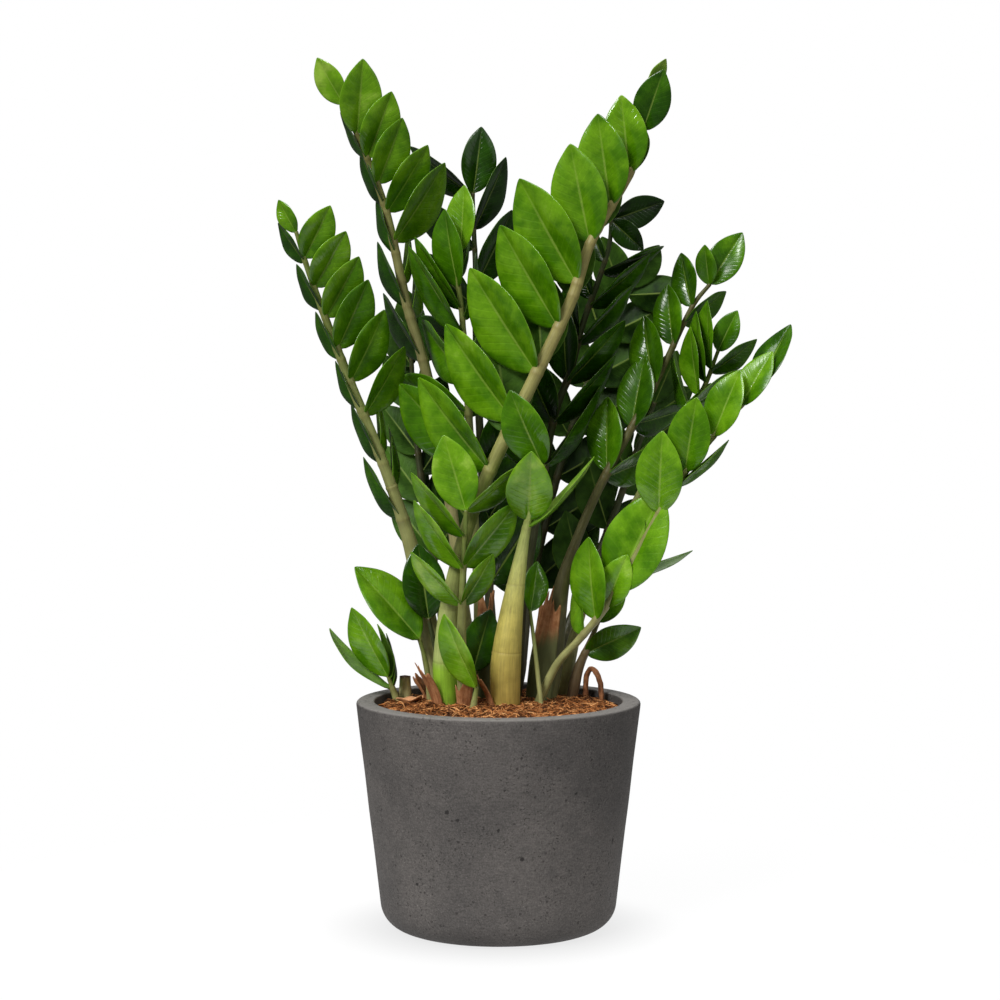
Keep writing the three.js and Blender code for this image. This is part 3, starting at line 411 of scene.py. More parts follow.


# path: points on the centre line from the mix's surface up to the root of the tip leaflets. tips: the
# leaflets at its end. face: the side that the upper faces look to. dark: a stem that stands in the shade,
# its shade painted in as darker stem colours.
STEMS = [
    dict(
        name="stem_front_centre", seed=11, face=[0, -1, 0.2],
        swell=17, swell_length=215, neck=4.6, tip=2,
        path=[[7, -14, 219], [7, -16, 260], [13, -20, 314], [21, -25, 363], [28, -34, 400], [35, -47, 430],
              [43, -58, 458]],
        ranks=[
            rank(LEFT, 1, 188, 188, 20, 80, 64, -60),
            rank(RIGHT, 1, 180, 180, 28, 98, -24, -58),
        ],
        tips=[dict(opened=-40, size=80, roll=10)],
    ),
    dict(
        name="shoot_front_low", seed=36, face=[0.1, -1, -0.1],
        swell=4, swell_length=20, neck=2.6, tip=1.8,
        path=[[-25, -36, 217], [-23, -38, 230], [-21, -40, 242]],
        ranks=[],
        tips=[dict(opened=-38, size=82, roll=48)],
    ),
    dict(
        name="shoot_dark_centre", seed=37, face=[-0.1, -1, 0.1], dark=True,
        swell=4, swell_length=20, neck=2.6, tip=1.8,
        path=[[-24, 12, 218], [-25, 9, 236], [-25, 7, 252]],
        ranks=[],
        tips=[dict(opened=6, size=64)],
    ),
    dict(
        name="stem_front_left", seed=12, face=[-0.1, -1, 0.2],
        swell=6, swell_length=170, neck=3.4, tip=2.2,
        path=[[-34, -16, 220], [-36, -26, 275], [-35, -37, 325], [-33, -45, 375], [-31, -50, 414]],
        ranks=[
            rank(LEFT, 3, 103, 171, [48, 34, 46], [72, 79, 84], [11, 6], -55),
            rank(RIGHT, 2, 103, 141, [34, 44, 40], [58, 70, 80], [-20, -18], [-26, -28]),
        ],
        tips=[dict(opened=-18, size=74), dict(opened=51, size=70, fold=-15, roll=-49)],
    ),
    dict(
        name="stem_front_tall", seed=13, face=[-0.1, -1, 0.15],
        swell=14, swell_length=170, neck=7.4, tip=2.2,
        path=[[-50, 3, 219], [-52, 0, 263], [-47, -8, 323], [-31, -22, 393], [-8, -34, 452], [34, -48, 540],
              [69, -56, 614], [87, -58, 668], [109, -58, 707], [126, -56, 737], [137, -54, 774],
              [139, -52, 812]],
        ranks=[
            rank(LEFT, 5, 242, 441, [70, 66, 49], [113, 120, 112], [-6, 4], [-35, -30]),
            rank(LEFT, 3, 481, 556, [38, 42, 36], [96, 94, 78], [18, 26], -24),
            rank(RIGHT, 1, 600, 600, 22, 62, 60, -60),
            rank(RIGHT, 5, 282, 560, [50, 46, 30], [104, 90, 60], [-150, -130]),
        ],
        tips=[dict(opened=30, size=40, roll=-52)],
    ),
    dict(
        name="stem_right_arching", seed=14, face=[-0.3, -1, 0.35],
        swell=5, swell_length=60, neck=4, tip=2,
        path=[[39, 8, 220], [57, -4, 259], [77, -14, 283], [101, -26, 314], [128, -38, 360],
              [161, -52, 424], [193, -60, 470], [227, -64, 510], [247, -64, 529]],
        ranks=[
            rank(LEFT, 1, 142, 142, 6, 108, 18, -13),
            rank(LEFT, 3, 88, 124, [86, 56, 12], [84, 88, 60], [-24, 50], [-25, -40]),
            rank(LEFT, 4, 232, 362, [30, 30, 9], [84, 74, 62], [50, 40], [-34, -50]),
            rank(LEFT, 2, 170, 205, 50, 76, -30),
            rank(RIGHT, 2, 165, 262, [32, 8, 0], [66, 70, 66], -36, [-48, -62]),
        ],
        tips=[dict(opened=-25, size=76, fold=11, roll=24)],
    ),
    dict(
        name="stem_far_left", seed=15, face=[0.15, -1, 0.1],
        swell=12.5, swell_length=250, neck=6.2, tip=2,
        path=[[-58, 45, 214], [-68, 38, 278], [-86, 25, 371], [-114, 12, 458], [-144, 2, 534],
              [-170, -6, 603], [-187, -10, 652], [-196, -12, 682]],
        ranks=[
            rank(RIGHT, 6, 302, 466, [53, 52, 50], [80, 79, 58], [0, 35], [-40, -32]),
            rank(RIGHT, 2, 226, 262, 46, 78, [-56, -50]),
            rank(LEFT, 6, 192, 462, [28, 13, 22], [78, 54, 52], [-62, -58]),
        ],
        tips=[dict(opened=-12, size=36, roll=38)],
    ),
    dict(
        name="stem_centre_left", seed=16, face=[-0.1, -1, 0.2],
        swell=10, swell_length=120, neck=4.6, tip=2,
        path=[[-16, 36, 216], [-20, 22, 320], [-27, 4, 469], [-35, -12, 597], [-39, -18, 635],
              [-36, -20, 663]],
        ranks=[
            rank(LEFT, 3, 371, 416, [48, 48, 21], [98, 82, 78], [-20, 14], [-41, -54]),
            rank(LEFT, 2, 292, 326, 54, 92, 0),
            rank(RIGHT, 4, 290, 425, [44, 40, 30], [80, 80, 68], [-70, -60]),
            rank(LEFT, 1, 246, 246, 58, 104, 0),
        ],
        tips=[dict(opened=-5, size=65, roll=31)],
    ),
    dict(
        name="stem_upper_left", seed=17, face=[0.15, -1, 0.1],
        swell=12, swell_length=140, neck=6.4, tip=2,
        path=[[-28, 62, 215], [-35, 58, 296], [-51, 48, 438], [-72, 34, 547], [-91, 24, 616],
              [-109, 14, 700], [-128, 6, 755], [-142, 1, 786], [-150, -2, 806]],
        ranks=[
            rank(RIGHT, 5, 467, 578, [48, 52, 42], [92, 68, 72], [0, 36], [-42, -28]),
            rank(LEFT, 5, 348, 552, [34, 17, 19], [84, 62, 54], [-58, -66]),
            rank(RIGHT, 2, 392, 428, 50, 84, [-60, -50]),
        ],
        tips=[dict(opened=-11, size=53, roll=36)],
    ),
    dict(
        name="stem_right", seed=18, face=[-0.2, -1, 0.3],
        swell=9, swell_length=110, neck=4.4, tip=1.8,
        path=[[62, 76, 218], [88, 64, 316], [127, 44, 398], [168, 22, 478], [199, 6, 527], [214, -6, 567]],
        ranks=[
            rank(LEFT, 4, 326, 372, [80, 60, 44], [96, 68, 70], [-11, 40], [-42, -54]),
            rank(RIGHT, 3, 290, 369, [10, 20, 30], [70, 62, 56], [-40, -30], [-24, -33]),
        ],
        tips=[dict(opened=4, size=46)],
    ),
    dict(
        name="stem_upper_right", seed=19, face=[-0.2, -1, 0.3],
        swell=17, swell_length=170, neck=5, tip=2,
        path=[[44, 40, 221], [58, 38, 308], [70, 36, 358], [96, 32, 423], [130, 26, 488], [156, 22, 537],
              [188, 16, 606], [207, 12, 632]],
        ranks=[
            rank(LEFT, 5, 236, 419, [30, 38, 40], [78, 74, 56], 0),
            rank(RIGHT, 4, 230, 400, [50, 46, 36], [80, 76, 58], -50),
        ],
        tips=[dict(opened=-3, size=59, roll=-10), dict(opened=-30, size=40, fold=-30, roll=40)],
    ),
    dict(
        name="stem_dark_behind", seed=20, face=[0.2, -1, 0.3], dark=True,
        swell=10, swell_length=120, neck=4.6, tip=2,
        path=[[14, 48, 217], [22, 44, 298], [37, 36, 398], [54, 22, 498], [71, 14, 547], [82, 10, 591],
              [99, 6, 639], [108, 4, 669], [110, 4, 695]],
        ranks=[
            rank(RIGHT, 6, 238, 440, [48, 28, 46], [100, 87, 74], [2, -12], [-54, -47]),
            rank(LEFT, 6, 236, 450, [44, 26, 50], [86, 76, 34], [-10, -40]),
        ],
        tips=[dict(opened=66, size=58, roll=-20), dict(opened=128, size=42, fold=20)],
    ),
    dict(
        name="stem_back_centre", seed=21, face=[0, -1, 0.2], dark=True,
        swell=11, swell_length=120, neck=4.6, tip=2,
        path=[[-10, 88, 217], [-9, 96, 313], [-18, 104, 465], [-23, 104, 587], [-23, 102, 642],
              [-25, 102, 689], [-26, 100, 726]],
        ranks=[
            rank(RIGHT, 3, 112, 230, 34, 90, 0),
            rank(LEFT, 2, 150, 230, 34, 84, 0),
            rank(RIGHT, 4, 290, 473, [46, 40, 18], [84, 82, 84], -10, [-18, -52]),
            rank(LEFT, 4, 330, 508, [46, 44, 52], [80, 82, 84], -10, [-18, -52]),
        ],
        tips=[dict(opened=11, size=69, fold=-8, roll=-13)],
    ),
    dict(
        name="stem_back_left", seed=22, face=[0.2, 1, 0.3], dark=True,
        swell=10, swell_length=110, neck=4.4, tip=2,
        path=[[-44, 92, 216], [-60, 108, 311], [-76, 122, 413], [-86, 130, 495], [-90, 130, 572]],
        ranks=[
            rank(RIGHT, 5, 150, 340, [34, 34, 28], [76, 72, 60], 20),
            rank(LEFT, 6, 140, 348, [40, 44, 36], [80, 76, 60], [10, 0]),
        ],
        tips=[dict(opened=0, size=60)],
    ),
    dict(
        name="stem_back_right", seed=23, face=[-0.1, 1, 0.3], dark=True,
        swell=10, swell_length=110, neck=4.4, tip=2,
        path=[[46, 93, 219], [82, 108, 311], [116, 114, 393], [141, 112, 465], [159, 106, 514]],
        ranks=[
            rank(RIGHT, 4, 116, 290, [38, 42, 36], [84, 78, 60], 0),
            rank(LEFT, 5, 130, 300, [38, 38, 32], [76, 70, 58], 20),
        ],
        tips=[dict(opened=0, size=60)],
    ),
    dict(
        name="stem_back_middle", seed=24, face=[0.1, 1, 0.3], dark=True,
        swell=10, swell_length=110, neck=4.4, tip=2,
        path=[[16, 102, 220], [31, 119, 310], [54, 136, 412], [85, 140, 515], [117, 132, 598],
              [137, 124, 632]],
        ranks=[
            rank(RIGHT, 7, 96, 420, [40, 46, 42], [94, 90, 70], 0),
            rank(LEFT, 7, 110, 426, [40, 46, 42], [94, 90, 70], 0),
        ],
        tips=[dict(opened=0, size=54)],
    ),
    dict(
        name="shoot_low_left", seed=31, face=[-0.1, -1, 0.3],
        swell=4, swell_length=26, neck=2.6, tip=1.8,
        path=[[-101, 40, 216], [-106, 38, 231], [-110, 36, 243]],
        ranks=[
            rank(LEFT, 1, 14, 14, 31, 94, -48, -52),
            rank(RIGHT, 2, 16, 24, [30, 34, 34], [58, 56, 56], [-60, -46], [-30, -48]),
        ],
        tips=[dict(opened=-12, size=82, fold=15, roll=22)],
    ),
    dict(
        name="shoot_left", seed=32, face=[-0.3, -1, 0.4],
        swell=4, swell_length=40, neck=2.6, tip=2,
        path=[[-67, 18, 217], [-71, 14, 255], [-78, 10, 283]],
        ranks=[],
        tips=[dict(opened=-24, size=94, fold=-10, roll=-50)],
    ),
    dict(
        name="shoot_dark_left", seed=33, face=[0.1, -1, 0.1], dark=True,
        swell=4, swell_length=40, neck=2.6, tip=2,
        path=[[-52, 24, 216], [-60, 20, 260], [-69, 14, 303]],
        ranks=[],
        tips=[dict(opened=4, size=79)],
    ),
    dict(
        name="shoot_brown_right", seed=34, face=[0, -1, 0.4],
        swell=6.5, swell_length=70, neck=3.6, tip=2,
        path=[[74, 56, 220], [80, 55, 247], [90, 52, 271], [100, 48, 296]],
        ranks=[
            rank(RIGHT, 1, 46, 46, 40, 64, 0),
        ],
        tips=[dict(opened=4, size=54)],
    ),
    dict(
        name="cut_stub", seed=38, face=[0, -1, 0],
        swell=6.8, swell_length=18, neck=6.2, tip=5.8,
        path=[[-94, 58, 216], [-94, 59, 227], [-94, 60, 240]],
        ranks=[],
        tips=[],
    ),
    dict(
        name="shoot_thin_centre", seed=35, face=[0.6, -1, 0.1],
        swell=2.6, swell_length=60, neck=2.2, tip=1.6,
        path=[[42, -10, 218], [36, -6, 273], [31, -2, 312]],
        ranks=[],
        tips=[dict(opened=22, size=50)],
    ),
]

# Each sheath wraps part of a stem's foot: turn is where its middle stands, 0 to the front and 90 to the
# right, spread how far it reaches round the stem, from and to its ends along the stem, flare how far its
# top leans away.
SHEATHS = [
    {"on": "stem_front_tall", "turn": -68, "spread": 104, "from": -SHEATH_SUNK, "to": 40, "flare": 14},
    {"on": "stem_front_left", "turn": 14, "spread": 150, "from": -SHEATH_SUNK, "to": 26, "flare": 4},
    {"on": "stem_front_centre", "turn": -80, "spread": 84, "from": -SHEATH_SUNK, "to": 30, "flare": 11},
    {"on": "stem_centre_left", "turn": 56, "spread": 170, "from": -SHEATH_SUNK, "to": 116, "flare": 9},
    {"on": "stem_upper_right", "turn": -36, "spread": 130, "from": -SHEATH_SUNK, "to": 116, "flare": 5},
    {"on": "stem_far_left", "turn": -104, "spread": 100, "from": -SHEATH_SUNK, "to": 30, "flare": 9},
]


# ---------------------------------------------------------------- growing the plant
# A stem with its centre line.
class Grown:
    def __init__(self, stem):
        self.stem = stem
        self.name = stem["name"]
        self.line = CentreLine(stem["path"])

    def radius(self, distance):
        return stem_radius(self.stem, self.line, distance)

    def cleared_radius(self, distance):
        return self.radius(distance) + BLADE_CLEARANCE

    def shell(self):
        return Shell(*tube(self.line, self.cleared_radius, STEM_SIDES, STEM_RING_STEP))


# Each leaflet is bent clear of the other stems, of their leaflets already placed, and, past its
# root, of the leaflets on its own stem. One that finds no room is left off.
def place_leaflets(plants):
    stem_shells = [plant.shell() for plant in plants]
    others = []
    placed = []
    for order, plant in enumerate(plants):
        obstacles = others + [shell for i, shell in enumerate(stem_shells) if i != order]
        own = []
        here = []
        for leaflet in leaflets_of(plant.stem, plant.line):
            for change in CHANGES:
                pose = pose_leaflet(plant.stem, plant.line, leaflet, change)
                shell = Shell(*blade(pose, 2 * BLADE_CLEARANCE, BLADE_STATIONS))
                if shell.low[2] < POT_HEIGHT + HEIGHT_CLEAR_OF_RIM:
                    continue
                if any(shell.crosses(other) for other in obstacles):
                    continue
                outer = Shell(*blade(pose, BLADE_CLEARANCE, BLADE_STATIONS_PAST_ROOT))
                if any(outer.crosses(other) for other in own):
                    continue
                here.append(pose)
                others.append(shell)
                own.append(outer)
                break
        placed.append(here)
    return placed


# ---------------------------------------------------------------- pieces and their materials
def add_object(name, data):
    made = bpy.data.objects.new(name, data)
    bpy.context.scene.collection.objects.link(made)
    return made


# What each point carries for the materials, and how many numbers that is.
FIELDS = {"way": 1, "lane": 1, "tone": 1, "under": 1, "tint": 4, "grain": 3}


# Points, faces and per-point fields gathered for one object. Points are in millimetres.
class Piece:
    def __init__(self):
        self.points = []
        self.faces = []
        self.slots = []
        self.fields = {name: [] for name in FIELDS}
        self.count = 0

    def add(self, points, faces, slot=0, **fields):
        points = np.asarray(points, float)
        self.points.append(points)
        self.faces.extend([tuple(int(i) + self.count for i in face) for face in faces])
        self.slots.extend([slot] * len(faces))
        for name, wide in FIELDS.items():
            values = np.asarray(fields.get(name, 0), float)
            shape = (len(points),) if wide == 1 else (len(points), wide)
            self.fields[name].append(np.broadcast_to(values, shape))
        self.count += len(points)

    def build(self, name, materials, replaced):
        mesh = bpy.data.meshes.new(name)
        mesh.from_pydata((np.concatenate(self.points) * MM).tolist(), [], self.faces)
        mesh.polygons.foreach_set("material_index", self.slots)
        mesh.shade_smooth()
        kinds = {1: ("FLOAT", "value"), 3: ("FLOAT_VECTOR", "vector"), 4: ("FLOAT_COLOR", "color")}
        for field, wide in FIELDS.items():
            kind, key = kinds[wide]
            attribute = mesh.attributes.new(field, kind, "POINT")
            values = np.concatenate(self.fields[field]).astype(np.float32)
            attribute.data.foreach_set(key, values.ravel())
        for material in materials:
            mesh.materials.append(material)
        mesh.update()
        piece = add_object(name, mesh)
        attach(piece, "root")
        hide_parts(replaced)


# Quads between rings of the same size, each ring closed round.
def ring_faces(rings, size, first=0):
    faces = []
    for ring in range(rings - 1):
        low = first + ring * size
        high = low + size
        for k in range(size):
            after = (k + 1) % size
            faces.append((low + k, low + after, high + after, high + k))
    return faces


# Rings with a fan to the point foot under the first ring and to the point head over the last.
def closed_faces(rings, size, first, foot, head):
    faces = ring_faces(rings, size, first)
    last = first + (rings - 1) * size
    for k in range(size):
        after = (k + 1) % size
        faces += [(foot, first + after, first + k), (head, last + k, last + after)]
    return faces


# Rings with one flat face at each end.
def block_faces(rings, size):
    ends = [tuple(range(size))[::-1], tuple(range((rings - 1) * size, rings * size))]
    return ring_faces(rings, size) + ends


# A thin sheet, its upper points row by row and then its under points, closed along its edges.
def sheet_faces(rows, lanes):
    wide = lanes + 1
    under = wide * (rows + 1)
    faces = []
    for row in range(rows):
        low, high = row * wide, (row + 1) * wide
        for k in range(lanes):
            a, b, c, d = low + k, low + k + 1, high + k + 1, high + k
            faces += [(a, b, c, d), (under + a, under + d, under + c, under + b)]
        for a, b in ((low, high), (high + lanes, low + lanes)):
            faces.append((a, b, under + b, under + a))
    for k in range(lanes):
        top = rows * wide + k
        faces += [(k + 1, k, under + k, under + k + 1), (top, top + 1, under + top + 1, under + top)]
    return faces


def srgb(red, green, blue):
    def linear(value):
        value /= 255
        return value / 12.92 if value <= 0.04045 else ((value + 0.055) / 1.055) ** 2.4

    return np.array([linear(red), linear(green), linear(blue), 1.0])


# A small helper for node materials: sockets or plain values go into a node's inputs.
class Graph:
    def __init__(self, name, roughness, shine=0.5):
        self.material = bpy.data.materials.new(name)
        self.material.use_nodes = True
        self.tree = self.material.node_tree
        self.tree.nodes.clear()
        inputs = {"Roughness": roughness, "Specular IOR Level": shine}
        self.shader = self.node("ShaderNodeBsdfPrincipled", inputs)
        output = self.node("ShaderNodeOutputMaterial")
        self.tree.links.new(self.shader.outputs[0], output.inputs["Surface"])

    def put(self, socket, value):
        if isinstance(value, bpy.types.NodeSocket):
            self.tree.links.new(value, socket)
        else:
            socket.default_value = value

    def node(self, kind, inputs=None, **settings):
        node = self.tree.nodes.new(kind)
        for key, value in settings.items():
            setattr(node, key, value)
        for key, value in (inputs or {}).items():
            self.put(node.inputs[key], value)
        return node

    def field(self, name, output="Fac"):
        return self.node("ShaderNodeAttribute", attribute_name=name).outputs[output]

    def place(self):
        return self.node("ShaderNodeTexCoord").outputs["Object"]

    def math(self, operation, *values):
        return self.node("ShaderNodeMath", dict(enumerate(values)), operation=operation).outputs[0]

    def times(self, one, two):
        return self.math("MULTIPLY", one, two)

    def plus(self, one, two):
        return self.math("ADD", one, two)

    # Goes smoothly from one value to another as the input passes from low to high.
    def step(self, value, low, high, start=0.0, end=1.0):
        inputs = {"Value": value, "From Min": low, "From Max": high, "To Min": start, "To Max": end}
        return self.node("ShaderNodeMapRange", inputs, interpolation_type="SMOOTHSTEP").outputs[0]

    def noise(self, vector, scale, detail=3.0, roughness=0.55, warp=0.0):
        inputs = {"Vector": vector, "Scale": scale, "Detail": detail, "Roughness": roughness}
        return self.node("ShaderNodeTexNoise", {**inputs, "Distortion": warp}).outputs[0]

    def mix(self, share, one, two, blend="MIX"):
        inputs = {0: share, 6: one, 7: two}
        return self.node("ShaderNodeMix", inputs, data_type="RGBA", blend_type=blend).outputs[2]

    # Lays another colour over a colour where the mask is, as strongly as said.
    def stain(self, colour, mask, strength, over):
        return self.mix(self.times(mask, strength), colour, over)

    def ramp(self, value, stops):
        node = self.node("ShaderNodeValToRGB", {"Fac": value})
        elements = node.color_ramp.elements
        while len(elements) < len(stops):
            elements.new(1.0)
        for element, (place, colour) in zip(elements, stops):
            element.position = place
            element.color = colour
        return node.outputs[0]

    # Lightens and darkens a colour by a value round 0.5.
    def shade(self, colour, value, strength):
        factor = self.step(value, 0.25, 0.75, 1 - strength, 1 + strength)
        grey = self.node("ShaderNodeCombineColor", {0: factor, 1: factor, 2: factor}).outputs[0]
        return self.mix(1.0, colour, grey, "MULTIPLY")

    def bump(self, height, strength, distance):
        inputs = {"Height": height, "Strength": strength, "Distance": distance}
        return self.node("ShaderNodeBump", inputs).outputs[0]

    def finish(self, colour, roughness=None, normal=None):
        self.put(self.shader.inputs["Base Color"], colour)
        if roughness is not None:
            self.put(self.shader.inputs["Roughness"], roughness)
        if normal is not None:
            self.put(self.shader.inputs["Normal"], normal)
        return self.material


LEAF_DARK = srgb(14, 36, 3)
LEAF_DEEP = srgb(34, 72, 2)
LEAF_MID = srgb(66, 114, 3)
LEAF_BRIGHT = srgb(104, 152, 20)
LEAF_YOUNG = srgb(142, 178, 62)
SIDE_VEINS = 13.0
VEIN_SLANT = -2.6


def leaf_material():
    g = Graph("zz_leaf", 0.25, 0.45)
    way = g.field("way")
    lane = g.field("lane")
    tone = g.field("tone")
    under = g.field("under")
    place = g.place()
    across = g.math("ABSOLUTE", lane)
    patches = g.noise(place, 38, 2)
    fine = g.noise(place, 420, 3)
    cells = g.noise(place, 120, 2, 0.6)
    tone = g.plus(tone, g.step(patches, 0.3, 0.7, -0.12, 0.12))
    tone = g.plus(tone, g.step(cells, 0.35, 0.65, -0.035, 0.035))
    # darker towards the leaflet's foot, partly painted shade near the stem, and lighter towards its tip
    tone = g.plus(tone, g.step(way, 0.0, 0.8, -0.07, 0.05))
    # the tone runs from leaflets in deep shade to young ones in full light: painted light and shade as well
    # as the leaflets' own colour
    colour = g.ramp(tone, [
        (0.0, LEAF_DARK), (0.3, LEAF_DEEP), (0.6, LEAF_MID), (0.85, LEAF_BRIGHT), (1.0, LEAF_YOUNG),
    ])
    colour = g.shade(colour, fine, 0.07)
    # side veins leave the rib at a slant and bend towards the tip
    slant = g.math("POWER", across, 0.8)
    phase = g.math("MULTIPLY_ADD", slant, VEIN_SLANT, g.times(way, SIDE_VEINS))
    wave = g.math("ABSOLUTE", g.math("SUBTRACT", g.math("FRACT", phase), 0.5))
    vein = g.step(wave, 0.0, 0.16, 1.0, 0.0)
    vein = g.times(vein, g.step(across, 0.75, 0.98, 1.0, 0.0))
    light = g.mix(0.5, colour, LEAF_YOUNG)
    veined = g.times(vein, g.step(tone, 0.1, 0.8, 0.02, 0.11))
    colour = g.mix(veined, colour, light)
    rib = g.step(across, 0.015, 0.06, 1.0, 0.0)
    rib = g.times(rib, g.step(way, 0.35, 1.0, 1.0, 0.25))
    colour = g.stain(colour, rib, 0.6, g.mix(0.55, colour, srgb(168, 190, 90)))
    # painted highlight: the leaflet's margin is lightened like light caught along its edge
    edge = g.step(across, 0.965, 0.995)
    colour = g.stain(colour, edge, 0.45, light)
    pale = g.stain(colour, tone, 0.34, srgb(130, 158, 78))
    colour = g.mix(under, colour, pale)
    foot = g.step(way, 0.0, 0.045, 0.75, 0.0)
    colour = g.mix(foot, colour, srgb(112, 118, 52))
    roughness = g.step(g.noise(place, 22, 1), 0.35, 0.65, 0.12, 0.28)
    roughness = g.plus(roughness, g.times(under, 0.3))
    g.put(g.shader.inputs["Specular IOR Level"], g.step(under, 0.0, 1.0, 0.45, 0.12))
    height = g.math("MULTIPLY_ADD", vein, -0.4, g.times(fine, 0.15))
    height = g.plus(height, g.noise(place, 70, 1))
    return g.finish(colour, roughness, g.bump(height, 0.4, 0.0006))


def stem_material():
    g = Graph("zz_stem", 0.42, 0.45)
    tint = g.field("tint", "Color")
    grain = g.field("grain", "Vector")
    place = g.place()
    streaks = g.noise(grain, 1.0, 3)
    blotches = g.noise(place, 85, 4, 0.6)
    specks = g.noise(place, 900, 2)
    colour = g.shade(tint, streaks, 0.16)
    colour = g.shade(colour, blotches, 0.12)
    scuff = g.step(g.noise(grain, 0.45, 5, 0.7, 0.6), 0.60, 0.72)
    colour = g.stain(colour, scuff, 0.35, srgb(126, 104, 66))
    dots = g.step(specks, 0.66, 0.74)
    colour = g.stain(colour, dots, 0.4, srgb(92, 78, 40))
    scar = g.field("under")
    colour = g.stain(colour, scar, 0.75, srgb(104, 78, 44))
    height = g.plus(g.times(streaks, 0.8), g.times(specks, 0.4))
    roughness = g.step(blotches, 0.3, 0.7, 0.36, 0.52)
    return g.finish(colour, roughness, g.bump(height, 0.4, 0.0006))


def pot_material():
    g = Graph("fibre_stone", 0.8, 0.35)
    place = g.place()
    squeeze = {0: place, 1: (1.0, 1.0, 4.0)}
    flattened = g.node("ShaderNodeVectorMath", squeeze, operation="MULTIPLY").outputs[0]
    cloud = g.noise(place, 9, 4, 0.6)
    mottle = g.noise(place, 55, 4, 0.6)
    scratches = g.noise(flattened, 150, 4, 0.65)
    grain = g.noise(place, 620, 4, 0.7)
    height = g.node("ShaderNodeSeparateXYZ", {"Vector": place}).outputs["Z"]
    colour = g.mix(g.step(cloud, 0.3, 0.7), srgb(66, 63, 61), srgb(82, 78, 75))
    colour = g.shade(colour, mottle, 0.13)
    colour = g.shade(colour, scratches, 0.18)
    colour = g.shade(colour, grain, 0.36)
    # painted highlight: the rim's top is lightened as if light falls on it
    painted_light_rim = g.step(height, RIM_PAINTED_LIGHT_FROM * MM, POT_HEIGHT * MM, 0.0, 0.55)
    colour = g.mix(painted_light_rim, colour, srgb(150, 146, 142))
    # painted shade: the pot darkens towards its foot, standing in for shade low on the pot
    painted_shade_foot = g.step(height, 0.0, FOOT_PAINTED_SHADE * MM, 0.34, 0.0)
    colour = g.mix(painted_shade_foot, colour, srgb(44, 41, 40))
    # painted shade: small pits, dented by the bump, are darkened as the shade inside them
    pits = g.node("ShaderNodeTexVoronoi", {"Vector": place, "Scale": 130.0}).outputs["Distance"]
    sparse = g.step(g.noise(place, 70, 1), 0.52, 0.6)
    pit = g.times(g.step(pits, 0.12, 0.22, 1.0, 0.0), sparse)
    colour = g.stain(colour, pit, 0.75, srgb(44, 40, 38))
    # painted shade: blowholes darkened almost to black, as the shade inside them
    blowhole = g.step(g.field("under"), 0.3, 0.62, 0.0, 0.92)
    colour = g.mix(blowhole, colour, srgb(26, 23, 22))
    flecks = g.step(g.noise(place, 520, 1), 0.66, 0.74)
    colour = g.stain(colour, flecks, 0.12, srgb(160, 154, 150))
    # painted shade: clusters of pinholes darkened as the shade inside them
    clusters = g.step(g.noise(place, 34, 3), 0.45, 0.58, 0.2, 1.0)
    pinholes = g.step(g.noise(place, 430, 2, 0.6), 0.41, 0.35)
    colour = g.stain(colour, g.times(pinholes, clusters), 0.8, srgb(34, 31, 29))
    relief = g.math("MULTIPLY_ADD", pit, -2.0, g.plus(grain, g.times(mottle, 0.8)))
    roughness = g.step(mottle, 0.3, 0.7, 0.72, 0.88)
    return g.finish(colour, roughness, g.bump(relief, 0.6, 0.0008))


def coir_material():
    g = Graph("coir_mix", 0.9, 0.2)
    place = g.place()
    tone = g.field("tone")
    lumps = g.noise(place, 160, 5, 0.7)
    fine = g.noise(place, 900, 3, 0.7)
    shade = g.plus(tone, g.step(lumps, 0.3, 0.7, -0.22, 0.22))
    colour = g.ramp(shade, [
        (0.0, srgb(24, 14, 8)), (0.4, srgb(92, 54, 28)),
        (0.75, srgb(170, 106, 56)), (1.0, srgb(222, 164, 106)),
    ])
    colour = g.shade(colour, fine, 0.2)
    height = g.plus(lumps, g.times(fine, 0.5))
    return g.finish(colour, None, g.bump(height, 0.6, 0.0012))


def sheath_material():
    g = Graph("dry_sheath", 0.72, 0.3)
    grain = g.field("grain", "Vector")
    tone = g.field("tone")
    place = g.place()
    streaks = g.noise(grain, 1.0, 4, 0.65)
    blotches = g.noise(place, 110, 4, 0.6)
    shade = g.plus(tone, g.step(streaks, 0.3, 0.7, -0.12, 0.12))
    shade = g.plus(shade, g.step(blotches, 0.3, 0.7, -0.12, 0.12))
    colour = g.ramp(shade, [
        (0.0, srgb(48, 30, 20)), (0.3, srgb(98, 60, 38)),
        (0.6, srgb(156, 102, 64)), (1.0, srgb(212, 156, 110)),
    ])
    olive = g.shade(srgb(92, 96, 58), streaks, 0.15)
    colour = g.mix(g.field("under"), colour, olive)
    return g.finish(colour, None, g.bump(streaks, 0.35, 0.0006))


LEAF = leaf_material()
STALK = stem_material()
POT_STONE = pot_material()
COIR = coir_material()
SHEATH = sheath_material()

# The order of a stem's two materials.
STALK_SLOT = 0
LEAF_SLOT = 1


# ---------------------------------------------------------------- fine leaflets
LEAF_ROWS = 26
LEAF_LANES = np.array([-1, -0.975, -0.84, -0.6, -0.34, -0.1, 0, 0.1, 0.34, 0.6, 0.84, 0.975, 1])
LEAF_THICKNESS = 0.9
RIB_DEPTH = 0.7
RIB_WIDTH = 0.13
GROOVE_DEPTH = 0.2
TIP_POINTING = 0.14
FOOT_NARROWING = 0.08
FOOT_THICKENING = 1.5
STALK_HALF_WIDTH = 1.3
PUFF = 0.08
EDGE_WAVE = 0.7
EDGE_WAVES = 9
SURFACE_WAVE = 0.55
SURFACE_WAVES = 13
RIPPLE = 0.12
RIPPLES = 30


